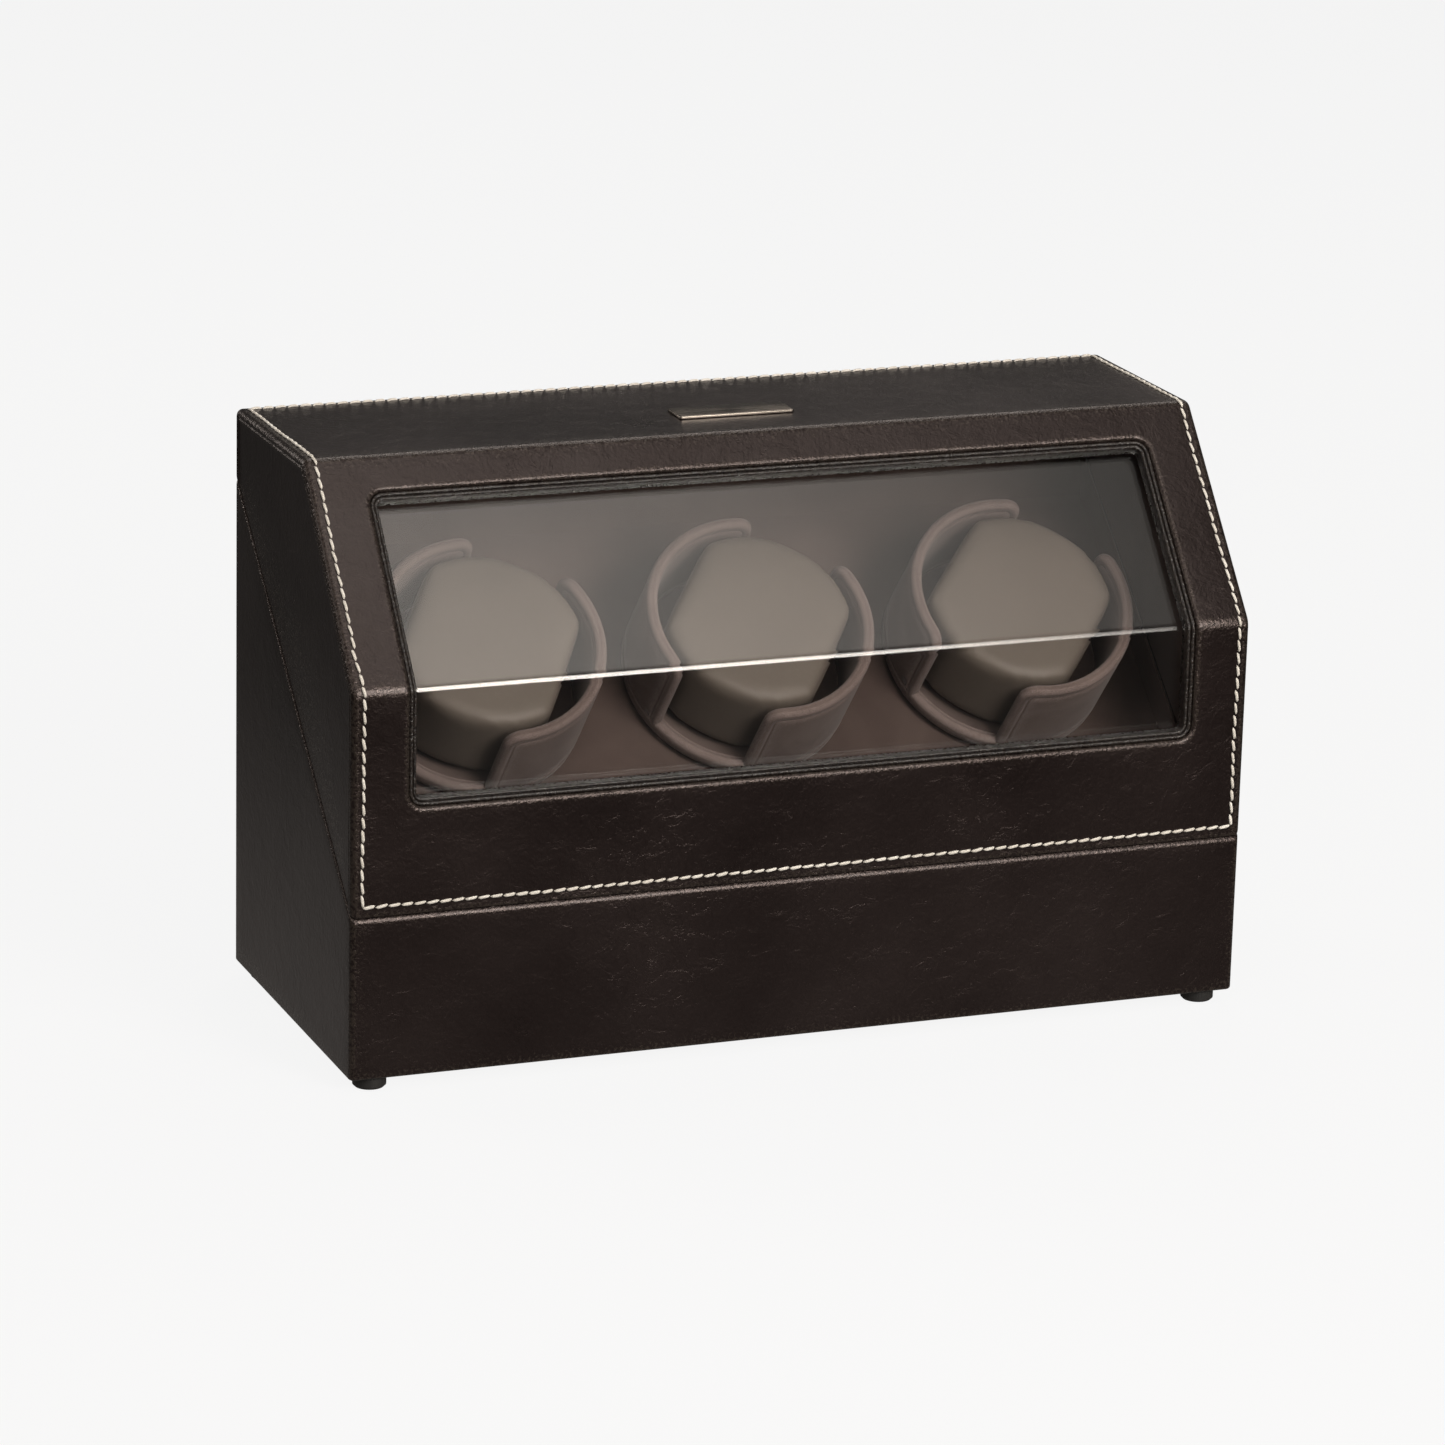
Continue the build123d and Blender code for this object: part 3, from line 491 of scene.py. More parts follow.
slotFinish = {
    "cover_leather": "caseLeather", "case_board": "caseBoard", "lining_velvet": "liningVelvet",
    "cup_velvet": "cupVelvet", "pillow_leather": "pillowLeather", "black_rubber": "feetRubber",
    "hinge_steel": "nickelSteel", "drive_steel": "zincSteel", "motor_steel": "motorSteel",
    "plate_nickel": "plateNickel", "control_plastic": "controlPlastic",
    "bush_plastic": "acetal", "board_laminate": "greenLaminate",
}
for part in frame["record"]["subparts"]:
    if part["material_slot"] in slotFinish:
        for slotPlace in frame["nodes"][part["node"]].material_slots:
            slotPlace.material = finish[slotFinish[part["material_slot"]]]
print("materials made:", len(finish) + 1)


# points round part of a circle, with angles in degrees
def arc(x, y, radius, start, sweep, steps):
    angles = [math.radians(start + sweep * k / steps) for k in range(steps + 1)]
    return [(x + radius * math.cos(a), y + radius * math.sin(a)) for a in angles]


def evenSteps(low, high, step):
    count = max(1, round((high - low) / step))
    return [low + (high - low) * k / count for k in range(count + 1)]


# an anticlockwise rectangle with round corners; xs and ys are the points of its straight sides
def roundedLoop(low, high, corner, steps, xs=(), ys=()):
    (left, bottom), (right, top) = low, high
    insideX, insideY = (left + corner, right - corner), (bottom + corner, top - corner)
    loop = [(x, bottom) for x in xs] + arc(insideX[1], insideY[0], corner, -90, 90, steps)
    loop += [(right, y) for y in ys] + arc(insideX[1], insideY[1], corner, 0, 90, steps)
    loop += [(x, top) for x in reversed(xs)] + arc(insideX[0], insideY[1], corner, 90, 90, steps)
    loop += [(left, y) for y in reversed(ys)] + arc(insideX[0], insideY[0], corner, 180, 90, steps)
    return loop


# an anticlockwise rectangle with sharp corners through all its stops
def sharpLoop(xs, ys):
    loop = [(x, ys[0]) for x in xs] + [(xs[-1], y) for y in ys[1:]]
    return loop + [(x, ys[-1]) for x in xs[-2::-1]] + [(xs[0], y) for y in ys[-2:0:-1]]


def insideLoop(point, loop):
    x, y = point
    inside = False
    for (x0, y0), (x1, y1) in zip(loop, loop[1:] + loop[:1]):
        if (y0 > y) != (y1 > y) and x < (x1 - x0) * (y - y0) / (y1 - y0) + x0:
            inside = not inside
    return inside


def betweenLoops(point, outline, holes):
    return insideLoop(point, outline) and not any(insideLoop(point, hole) for hole in holes)


# triangles that fill a flat outline round its holes, with the extra points asked for inside it
def fillFlat(outline, holes, extra):
    points, edges = [], []
    for loop in [outline] + holes:
        first = len(points)
        points += [Vector(p) for p in loop]
        edges += [(first + i, first + (i + 1) % len(loop)) for i in range(len(loop))]
    points += [Vector(p) for p in extra]
    found = delaunay_2d_cdt(points, edges, [], 0, 1e-5)
    spots, triangles = found[0], []
    for face in found[2]:
        middle = sum((spots[i] for i in face), Vector((0, 0))) / len(face)
        if betweenLoops(middle, outline, holes):
            triangles.append(tuple(face))
    return [tuple(p) for p in spots], triangles


# the points of a grid that lie inside an outline, with room to its edges
def gridPoints(xs, ys, outline, holes, room):
    edge = [p for loop in [outline] + holes for p in loop]
    keep = []
    for spot in [(x, y) for x in xs for y in ys]:
        if betweenLoops(spot, outline, holes) and min(math.dist(spot, p) for p in edge) > room:
            keep.append(spot)
    return keep


# quads between rows of the same number of points
def rowFaces(rows, closed=False):
    points = [p for row in rows for p in row]
    wide = len(rows[0])
    faces = []
    for r in range(len(rows) - 1):
        for c in range(wide if closed else wide - 1):
            n = (c + 1) % wide
            faces.append((r * wide + c, r * wide + n, (r + 1) * wide + n, (r + 1) * wide + c))
    return points, faces


# a profile of (radius, level) turned round an axis; put gives the place of (x, y, level)
def turnedFaces(profile, around, put, closed=False):
    rows = []
    for k in range(around + 1):
        across, up = math.cos(math.tau * k / around), math.sin(math.tau * k / around)
        rows.append([put(radius * across, radius * up, level) for radius, level in profile])
    return rowFaces(rows, closed)


def joinParts(parts):
    points, faces = [], []
    for partPoints, partFaces in parts:
        shift = len(points)
        points += partPoints
        faces += [tuple(i + shift for i in face) for face in partFaces]
    return points, faces


# A skin is the outer line of the lid's side view, from the lower front edge over the top
# to the lower back edge
def makeSkin(corners, rounds):
    legs = []
    start = 0.0
    for (y0, z0), (y1, z1) in zip(corners, corners[1:]):
        long = math.hypot(y1 - y0, z1 - z0)
        along, out = Vector((y1 - y0, z1 - z0)) / long, Vector((z0 - z1, y1 - y0)) / long
        legs.append({"start": start, "from": Vector((y0, z0)), "along": along, "out": out})
        start += long
    for leg, before, bend in zip(legs[1:], legs, rounds):
        leg["turn"] = math.acos(leg["along"].dot(before["along"]))
        leg["round"] = bend
    return {"legs": legs, "long": start}


# the radius of a corner at a depth, and how far it reaches along the skin each way
def cornerRound(leg, depth):
    bend = max(leg["round"], depth + 0.05)
    return bend, bend * math.tan(leg["turn"] / 2)


# place and outward direction on a skin, at a distance along it and a depth under it
def skinPoint(skin, x, along, depth):
    legs = skin["legs"]
    index = max(i for i, leg in enumerate(legs) if i == 0 or along >= leg["start"])
    for corner in (index, index + 1):
        if not 0 < corner < len(legs):
            continue
        leg, before = legs[corner], legs[corner - 1]
        bend, reach = cornerRound(leg, depth)
        away = along - leg["start"]
        if abs(away) < reach:
            angle = (away + reach) / (2 * reach) * leg["turn"]
            centre = leg["from"] - before["along"] * reach - before["out"] * bend
            out = Matrix.Rotation(-angle, 2) @ before["out"]
            return Vector((x, *(centre + out * (bend - depth)))), Vector((0, *out))
    leg = legs[index]
    spot = leg["from"] + leg["along"] * (along - leg["start"]) - leg["out"] * depth
    return Vector((x, *spot)), Vector((0, *leg["out"]))


# the distances along a skin that give smooth corners, with even steps between them
def skinStops(skin, low, high, step, cornerSteps=6):
    stops = {low, high}
    gaps = [low]
    for leg in skin["legs"][1:]:
        reach = cornerRound(leg, 0.0)[1]
        spots = [leg["start"] - reach + 2 * reach * k / cornerSteps for k in range(cornerSteps + 1)]
        spots = [s for s in spots if low < s < high]
        stops.update(spots)
        gaps += spots
    gaps = sorted(gaps + [high])
    for a, b in zip(gaps, gaps[1:]):
        stops.update(evenSteps(a, b, step)[:-1])
    return sorted(stops)


# Lid leather
lidLeather = {
    "foldRound": 7.0,
    "topRound": 4.5,
    "backRound": 3.0,
    "sideRound": 2.2,
    # how far the leather sinks, and how far in from the lid's edge: the groove and the side panel
    "sideProfile": (
        (0, 2.6), (0.18, 2.775), (0.6, 2.915), (0.6, 3.09), (0.18, 3.3),
        (0.1, 3.51), (0.05, 3.72), (0.14, 3.93), (0.38, 4.35), (0.38, 5.4),
    ),
    # how far outside the window's opening, and how deep: the leather turns in there
    "windowLip": (
        (2.2, 0), (1.5, 0.03), (0.85, 0.14), (0.35, 0.38), (0, 0.8), (-0.12, 1.3), (-0.14, 2.6),
    ),
    "rimRise": 1.3,
    "rimGap": 0.15,
    "rimInset": 9.8,
    "rimHem": 0,
    "rimReach": 3.2,
    "step": 6.0,
    "room": 0.9,
    "stitchInset": 4.2,
    "channelDeep": 0.16,
    "channelWide": 1.5,
    "fullWear": 9,
}
lidSkin = makeSkin(lidCorners, [lidLeather[k] for k in ("foldRound", "topRound", "backRound")])
foldAt, backEdgeAt = (lidSkin["legs"][k]["start"] for k in (1, 3))

# Window opening, in the flat of the skin: x across and distance along
trimLow, trimHigh = boxOf("window_trim")
paneLow, paneHigh = boxOf("window_pane")
window = {
    "halfWide": trimHigh.x,
    "sill": trimLow.z - lidCorners[0][1],
    "corner": 5.5,
    "cornerSteps": 7,
    "step": 3.0,
}
slope = lidSkin["legs"][1]
trimPoints = [Vector(v.co.yz) / mm for v in frame["nodes"]["window_trim"].data.vertices]
window["head"] = foldAt + max((p - slope["from"]).dot(slope["along"]) for p in trimPoints)


# the opening's outline grown by a margin, always with the same number of points
def windowRing(margin):
    reach, corner, low, high = (window[k] for k in ("halfWide", "corner", "sill", "head"))
    xs = evenSteps(corner - reach, reach - corner, window["step"] * 2)[1:-1]
    ys = skinStops(lidSkin, low + corner, high - corner, window["step"])[1:-1]
    lowest, highest = (-reach - margin, low - margin), (reach + margin, high + margin)
    return roundedLoop(lowest, highest, corner + margin, window["cornerSteps"], xs, ys)


# closed rows round the window from (margin, depth) pairs
def windowRows(skin, pairs):
    rows = []
    for margin, depth in pairs:
        rows.append([skinPoint(skin, x, along, depth)[0] for x, along in windowRing(margin)])
    return rowFaces(rows, closed=True)


# where the stitching runs, as straight runs in the flat of the skin
stitchX = halfWidth - lidLeather["stitchInset"]
stitchLow = lidLeather["stitchInset"]
stitchHigh = backEdgeAt - lidLeather["stitchInset"]


# how deep the stitching pulls the leather in
def channelDepth(x, along):
    apart = []
    if stitchLow - 1 < along < stitchHigh + 1:
        apart.append(abs(abs(x) - stitchX))
    if abs(x) < stitchX + 1:
        apart += [abs(along - stitchLow), abs(along - stitchHigh)]
    near = min(apart, default=math.inf) / lidLeather["channelWide"]
    return lidLeather["channelDeep"] * math.exp(-near * near)


# where the lid's leather starts and ends along the skin, at a depth under it
def lidRimEnds(depth):
    rise, lean = lidLeather["rimRise"], lidRimSlope * depth
    return rise + lean, lidSkin["long"] - rise + lean


def buildLidLeather():
    bend, step, wide = (lidLeather[k] for k in ("sideRound", "step", "channelWide"))
    flatX = halfWidth - bend
    low, high = lidRimEnds(0)
    stops = skinStops(lidSkin, low, high, step)
    across = evenSteps(-flatX, flatX, step)
    outline = sharpLoop(across, stops)
    hole = windowRing(lidLeather["windowLip"][0][0])
    channel = (-wide, 0, wide)
    xs = across[1:-1] + [side * stitchX + c for side in sides for c in channel]
    ys = stops[1:-1] + [level + c for level in (stitchLow, stitchHigh) for c in channel]
    extra = gridPoints(xs, ys, outline, [hole], lidLeather["room"])
    spots, triangles = fillFlat(outline, [hole], extra)
    points = []
    for x, along in spots:
        onEdge = min(flatX - abs(x), along - low, high - along) < 0.01
        depth = 0 if onEdge else channelDepth(x, along)
        points.append(skinPoint(lidSkin, x, along, depth)[0])
    parts = [(points, triangles), windowRows(lidSkin, lidLeather["windowLip"])]
    profile = arc(flatX, bend, bend, -90, 90, 6)
    profile += [(halfWidth - sunk, inward) for sunk, inward in lidLeather["sideProfile"]]
    for side in sides:
        rows = []
        for out, depth in profile:
            start, end = lidRimEnds(depth)
            line = [start] + stops[1:-1] + [end]
            rows.append([skinPoint(lidSkin, side * out, s, depth)[0] for s in line])
        parts.append(rowFaces(rows))
        panel = rows[-1]
        count = round((panel[-1].y - panel[0].y) / step)
        bottom = [panel[-1].lerp(panel[0], k / count) for k in range(1, count)]
        parts.append((panel + bottom, [tuple(range(len(panel) + len(bottom)))]))
    return joinParts(parts)


# rolls an open edge under, across the rim, and on to an inner edge
# look is lidLeather or baseLeather; up is 1 for the base and -1 for the lid
def rollRim(piece, look, up):
    gap, rise, bend, inset, hem, reach = (
        look[k] for k in ("rimGap", "rimRise", "sideRound", "rimInset", "rimHem", "rimReach")
    )
    work = openMesh(piece.data)

    def nearRim(vert):
        spot = vert.co / mm
        return up * (splitAt(spot.y, 0) - spot.z) < reach

    edges = [e for e in work.edges if e.is_boundary and all(nearRim(v) for v in e.verts)]
    begun = {vert: vert.co / mm for edge in edges for vert in edge.verts}
    stages = [("curve", t / 5) for t in range(1, 6)] + [("inset", inset)]
    if hem:
        stages.append(("hem", hem))
    for kind, amount in stages:
        made = bmesh.ops.extrude_edge_only(work, edges=edges)["geom"]
        edges = [g for g in made if isinstance(g, bmesh.types.BMEdge) and g.is_boundary]
        home = {}
        for vert in (g for g in made if isinstance(g, bmesh.types.BMVert)):
            for other in (edge.other_vert(vert) for edge in vert.link_edges):
                if other in begun and (vert.co - other.co).length < 1e-9:
                    home[vert] = begun[other]
        for vert, start in home.items():
            if kind == "curve":
                flatX, flatY = nearestInside(start.x, start.y, bend)
                out = Vector((start.x - flatX, start.y - flatY, 0)).normalized()
                corner = Vector((start.x, start.y, splitAt(start.y, gap)))
                end = corner - out * rise
                end.z = splitAt(end.y, gap)
                rest = 1 - amount
                spot = start * rest**2 + corner * 2 * amount * rest + end * amount**2
            else:
                x, y = nearestInside(start.x, start.y, inset)
                spot = Vector((x, y, splitAt(y, gap) - (up * amount if kind == "hem" else 0)))
            vert.co = spot * mm
        begun = home
    closeMesh(work, piece.data)


lidCover = newPiece(
    "lidLeather", buildLidLeather(), finish["caseLeather"], "lid",
    "lid_leather_cover",
)
rollRim(lidCover, lidLeather, -1)
markWear(lidCover, lidLeather["fullWear"])
print("lid leather:", len(lidCover.data.polygons), "faces")

# Window trim: two corded ridges that step down to the pane; pairs are (margin, depth)
wallBottom = paneLow.y + halfDepth - 0.05
windowTrim = {
    "start": (-0.16, 3.35),
    "cords": ((-0.9, 1.75, 0.75), (-2.33, 2.3, 0.68)),  # margin, depth and radius
    "cordSteps": 6,
    "end": ((-3.02, 3.0), (-3.05, wallBottom), (-1.2, wallBottom + 0.02)),
    "fullWear": 36,
}
trimRows = [windowTrim["start"]]
for margin, depth, size in windowTrim["cords"]:
    trimRows += arc(margin, depth, size, 0, -180, windowTrim["cordSteps"])
trimShape = windowRows(lidSkin, trimRows + list(windowTrim["end"]))
trimPiece = newPiece(
    "windowTrim", trimShape, finish["trimLeather"], "lid", "window_trim"
)
markWear(trimPiece, windowTrim["fullWear"])

# Window pane, bent at the fold
pane = {
    "outer": paneLow.y + halfDepth,
    "thick": 2.5,
    "bend": 6.5,
    "bendSteps": 12,
    "overlap": paneHigh.x - trimHigh.x,
    "play": 0.3,
    "step": 14.0,
    "room": 0.5,
}
paneRounds = [pane["bend"] + pane["outer"], lidLeather["topRound"], lidLeather["backRound"]]
paneSkin = makeSkin(lidCorners, paneRounds)


def buildPane():
    outer, overlap, step = (pane[k] for k in ("outer", "overlap", "step"))
    margin = overlap - pane["play"]
    ring = windowRing(margin)
    low, high = window["sill"] - overlap, window["head"] + overlap
    stops = skinStops(paneSkin, low, high, step, cornerSteps=pane["bendSteps"])[1:-1]
    reach = window["halfWide"] + overlap
    grid = gridPoints(evenSteps(-reach, reach, step), stops, ring, [], pane["room"])
    spots, triangles = fillFlat(ring, [], grid)
    depths = (outer, outer + pane["thick"])
    parts = [([skinPoint(paneSkin, x, s, d)[0] for x, s in spots], triangles) for d in depths]
    parts.append(windowRows(paneSkin, [(margin, d) for d in depths]))
    return joinParts(parts)


panePiece = newPiece(
    "windowPane", buildPane(), makeAcrylic(), "lid", "window_pane"
)
panePiece.data.set_sharp_from_angle(angle=crispAngle)
print("window: trim and pane")

# Saddle stitching: one short padded thread for each stitch
stitch = {
    "pitch": 4.7,
    "long": 4.5,
    "longSpread": (0.94, 1.03),
    "wide": 0.58,
    "wideSpread": (0.9, 1.08),
    "tipWide": 0.14,
    "rise": 0.46,
    "sink": 0.15,
    "flat": 0.8,
    "slant": 8.0,
    "slantSpread": (-3, 3),
    "around": 8,
    "steps": 7,
    "waves": ((0.18, 17, 1), (0.12, 6.1, 2)),  # size, length and shift of each
    "kinkDeep": 0.8,
    "kinkAbove": 13,
    "kinkWide": 3.0,
    "seed": 11,
}


# how far the stitch line strays, with one kink above the fold on the left
def stitchWander(x, along):
    wave = sum(size * math.sin(along / long + shift * x) for size, long, shift in stitch["waves"])
    if x < 0:
        off = (along - foldAt - stitch["kinkAbove"]) / stitch["kinkWide"]
        wave -= stitch["kinkDeep"] * math.exp(-(off**2))
    return wave


def stitchMesh(x, along, dx, ds, rng):
    lean = math.radians(stitch["slant"] + rng.uniform(*stitch["slantSpread"]))
    across, up = math.cos(lean), math.sin(lean)
    dx, ds = dx * across - ds * up, dx * up + ds * across
    size = stitch["wide"] * rng.uniform(*stitch["wideSpread"])
    half = stitch["long"] / 2 * rng.uniform(*stitch["longSpread"])
    rows = []
    for k in range(stitch["steps"]):
        share = -1 + 2 * k / (stitch["steps"] - 1)
        thick = max(stitch["tipWide"], size * math.sqrt(max(0.0, 1 - abs(share) ** 5)))
        lift = stitch["rise"] * (1 - share**4) - stitch["sink"]
        far, ahead = half * share, half * share + 0.05
        spot, out = skinPoint(lidSkin, x + dx * far, along + ds * far, 0)
        forward = skinPoint(lidSkin, x + dx * ahead, along + ds * ahead, 0)[0] - spot
        sideways = forward.normalized().cross(out).normalized()
        middle = spot + out * lift
        ring = arc(0, 0, thick, 0, 360, stitch["around"])[:-1]
        rows.append([middle + sideways * a + out * stitch["flat"] * b for a, b in ring])
    points, faces = rowFaces(rows, closed=True)
    wide, last = stitch["around"], len(points) - stitch["around"]
    return points, faces + [tuple(reversed(range(wide))), tuple(range(last, last + wide))]


def buildStitches():
    rng = random.Random(stitch["seed"])
    parts = []
    runs = [((x, stitchLow), (x, stitchHigh)) for x in (-stitchX, stitchX)]
    runs += [((-stitchX, s), (stitchX, s)) for s in (stitchHigh, stitchLow)]
    for (x0, s0), (x1, s1) in runs:
        long = math.hypot(x1 - x0, s1 - s0)
        dx, ds = (x1 - x0) / long, (s1 - s0) / long
        count = round(long / stitch["pitch"])
        for k in range(count):
            way = (k + 0.5) * long / count
            x, along = x0 + dx * way, s0 + ds * way
            wander = stitchWander(x, along) if ds else 0.5 * stitchWander(along, x)
            parts.append(stitchMesh(x + wander * ds, along + wander * dx, dx, ds, rng))
    print("stitches:", len(parts))
    return joinParts(parts)


newPiece("saddleStitching", buildStitches(), finish["stitchThread"], "lid")

# Base leather
baseLeather = {
    "sideRound": 2.2,
    "cornerSteps": 6,
    "rimRise": 1.3,
    "rimGap": -0.15,
    "rimInset": 9.05,
    "rimHem": 2.2,
    "rimReach": 2.6,
    "floorRoll": 1.2,
    "floorHem": 1.92,
    "step": 7.0,
    "rows": 14,
    "room": 2.0,
    "trayOpening": 84.4,
    "trayStep": 8,
    "fullWear": 16,
}
baseFloor = boxOf("base_leather_cover")[0].z
trayLow, trayHigh = boxOf("control_tray")
trayFlange = (trayHigh.x - trayLow.x - baseLeather["trayOpening"]) / 2


def baseTop(y):
    return splitAt(y, baseLeather["rimGap"]) - baseLeather["rimRise"]


# a wall's point moved in by an inset, square to the rounded outline
def wallPoint(spot, inset, level):
    flat = Vector(nearestInside(*spot, baseLeather["sideRound"]))
    return Vector((*(spot - (spot - flat).normalized() * inset), level))


def buildBaseLeather():
    bend, steps, step, roll, hem, rowCount, room = (
        baseLeather[k]
        for k in ("sideRound", "cornerSteps", "step", "floorRoll", "floorHem", "rows", "room")
    )
    flatX, flatY = halfWidth - bend, halfDepth - bend
    xs, ys = evenSteps(-flatX, flatX, step), evenSteps(-flatY, flatY, step)
    # round the left, front and right walls, from the back left corner to the back right one
    loop = arc(-flatX, flatY, bend, 90, 90, steps) + [(-halfWidth, y) for y in ys[-2:0:-1]]
    loop += arc(-flatX, -flatY, bend, 180, 90, steps) + [(x, -halfDepth) for x in xs[1:-1]]
    loop += arc(flatX, -flatY, bend, 270, 90, steps) + [(halfWidth, y) for y in ys[1:-1]]
    loop = [Vector(p) for p in loop + arc(flatX, flatY, bend, 0, 90, steps)]
    low = baseFloor + roll
    under = [(hem, baseFloor)] + arc(roll, low, roll, 270, -90, 4)
    shares = [k / rowCount for k in range(1, rowCount + 1)]
    rows = [[wallPoint(p, inset, level) for p in loop] for inset, level in under]
    rows += [[Vector((*p, low + (baseTop(p.y) - low) * share)) for p in loop] for share in shares]
    # back wall, with the control tray's opening
    levels = [low] + [low + (baseTop(halfDepth) - low) * share for share in shares]
    outline = sharpLoop(xs, levels)
    holeX = trayHigh.x - trayFlange
    holeLow, holeHigh = trayLow.z + trayFlange, trayHigh.z - trayFlange
    hole = [(x, holeLow) for x in evenSteps(-holeX, holeX, baseLeather["trayStep"])]
    hole += [(holeX, holeHigh), (-holeX, holeHigh)]
    spots, triangles = fillFlat(outline, [hole], gridPoints(xs, levels, outline, [hole], room))
    backRows = [[Vector((x, halfDepth - inset, level)) for x in xs] for inset, level in under]
    back = [Vector((x, halfDepth, z)) for x, z in spots]
    return joinParts([rowFaces(rows), (back, triangles), rowFaces(backRows)])


baseCover = newPiece(
    "baseLeather", buildBaseLeather(), finish["caseLeather"], "base",
    "base_leather_cover",
)
rollRim(baseCover, baseLeather, 1)
markWear(baseCover, baseLeather["fullWear"])
print("base leather:", len(baseCover.data.polygons), "faces")

# Velvet linings: copies of their CAD nodes with softened edges, of these widths
lining = {"deck": 0.45, "lid": 0.35, "bevelSteps": 3, "bevelFrom": 25, "crispFrom": 35}


def softCopy(name, node, body, width):
    mesh = frame["nodes"][node].data.copy()
    work = openMesh(mesh)
    bmesh.ops.remove_doubles(work, verts=work.verts, dist=weldReach / 4)
    bmesh.ops.dissolve_limit(
        work, angle_limit=math.radians(1), verts=work.verts, edges=work.edges
    )
    turn = math.radians(lining["bevelFrom"])
    sharp = [e for e in work.edges if len(e.link_faces) == 2 and e.calc_face_angle() > turn]
    bmesh.ops.bevel(
        work, geom=sharp, offset=width * mm, segments=lining["bevelSteps"], profile=0.5,
        affect="EDGES", clamp_overlap=True,
    )
    bmesh.ops.triangulate(work, faces=[f for f in work.faces if len(f.verts) > 4])
    work.to_mesh(mesh)
    work.free()
    placeMesh(name, mesh, finish["liningVelvet"], body, node)
    mesh.set_sharp_from_angle(angle=math.radians(lining["crispFrom"]))


softCopy("deckVelvet", "deck_lining", "base", lining["deck"])
softCopy("lidVelvet", "lid_lining", "lid", lining["lid"])
print("linings")

# Cups
cup = {
    "turns": {"left": 60.0, "middle": 54.0, "right": 49.0},
    "wall": 4.2,
    "bandFoot": 1.0,
    "edgeRound": 1.9,
    "notchHalf": 16.5,
    "topCorner": 6.5,
    "cornerSteps": 8,
    "sillRise": 5.0,
    "footRound": 0.5,
    "trayInset": 0.15,
    "floorThick": 3.5,
    "floorRound": 1,
    "hubHole": 8.1,
    "seamInset": 3.6,
    "seamDeep": 0.35,
    "step": 4.0,
    "room": 1.2,
    "around": 72,
    "fullWear": 25,
}
# a sewn seam across its line: how far off the line, and its share of the depth
seamProfile = ((-0.7, 0), (-0.3, 0.4), (0, 1), (0.3, 0.4), (0.7, 0))


def cupPlace(name):
    return Vector(joints[f"cup_spin_{name}"]["pos_m"]) / mm


# a cup's own frame: X across its notches, Z out of the box
def cupFrame(name):
    sideways = Vector((1, 0, 0))
    base = Matrix((sideways, cupAxis.cross(sideways), cupAxis)).transposed()
    return cupPlace(name), base @ Matrix.Rotation(math.radians(cup["turns"][name]), 3, "Z")


# lowest and highest level of a node along its cup's axis, and its widest reach from it
def axisSpan(node, name):
    offsets = [v.co / mm - cupPlace(name) for v in frame["nodes"][node].data.vertices]
    levels = [o.dot(cupAxis) for o in offsets]
    return min(levels), max(levels), max((o - cupAxis * o.dot(cupAxis)).length for o in offsets)


# a bent sheet with round edges, from a flat outline and the stops of a grid inside it
# put gives a place for (x, y, distance off the middle)
def roundSheet(outline, thick, edge, put, stops=([], []), seam=0, seamDeep=0):
    inward = []
    for (ax, ay), (bx, by) in zip(outline[-1:] + outline, outline[1:] + outline[:1]):
        long = math.hypot(bx - ax, by - ay)
        inward.append(((ay - by) / long, (bx - ax) / long))

    def ring(inset):
        return [(x + nx * inset, y + ny * inset) for (x, y), (nx, ny) in zip(outline, inward)]

    half = thick / 2
    steps = arc(edge, half - edge, edge, 180, -90, 5)
    if seam:
        steps += [(seam + off, half - share * seamDeep) for off, share in seamProfile]
    rows = [[put(x, y, off) for x, y in ring(inset)] for inset, off in reversed(steps)]
    rows += [[put(x, y, -off) for x, y in ring(inset)] for inset, off in steps]
    inner = ring(steps[-1][0])
    spots, triangles = fillFlat(inner, [], gridPoints(*stops, inner, [], cup["room"]))
    faces = [([put(x, y, side * half) for x, y in spots], triangles) for side in sides]
    return joinParts([rowFaces(rows, closed=True)] + faces)


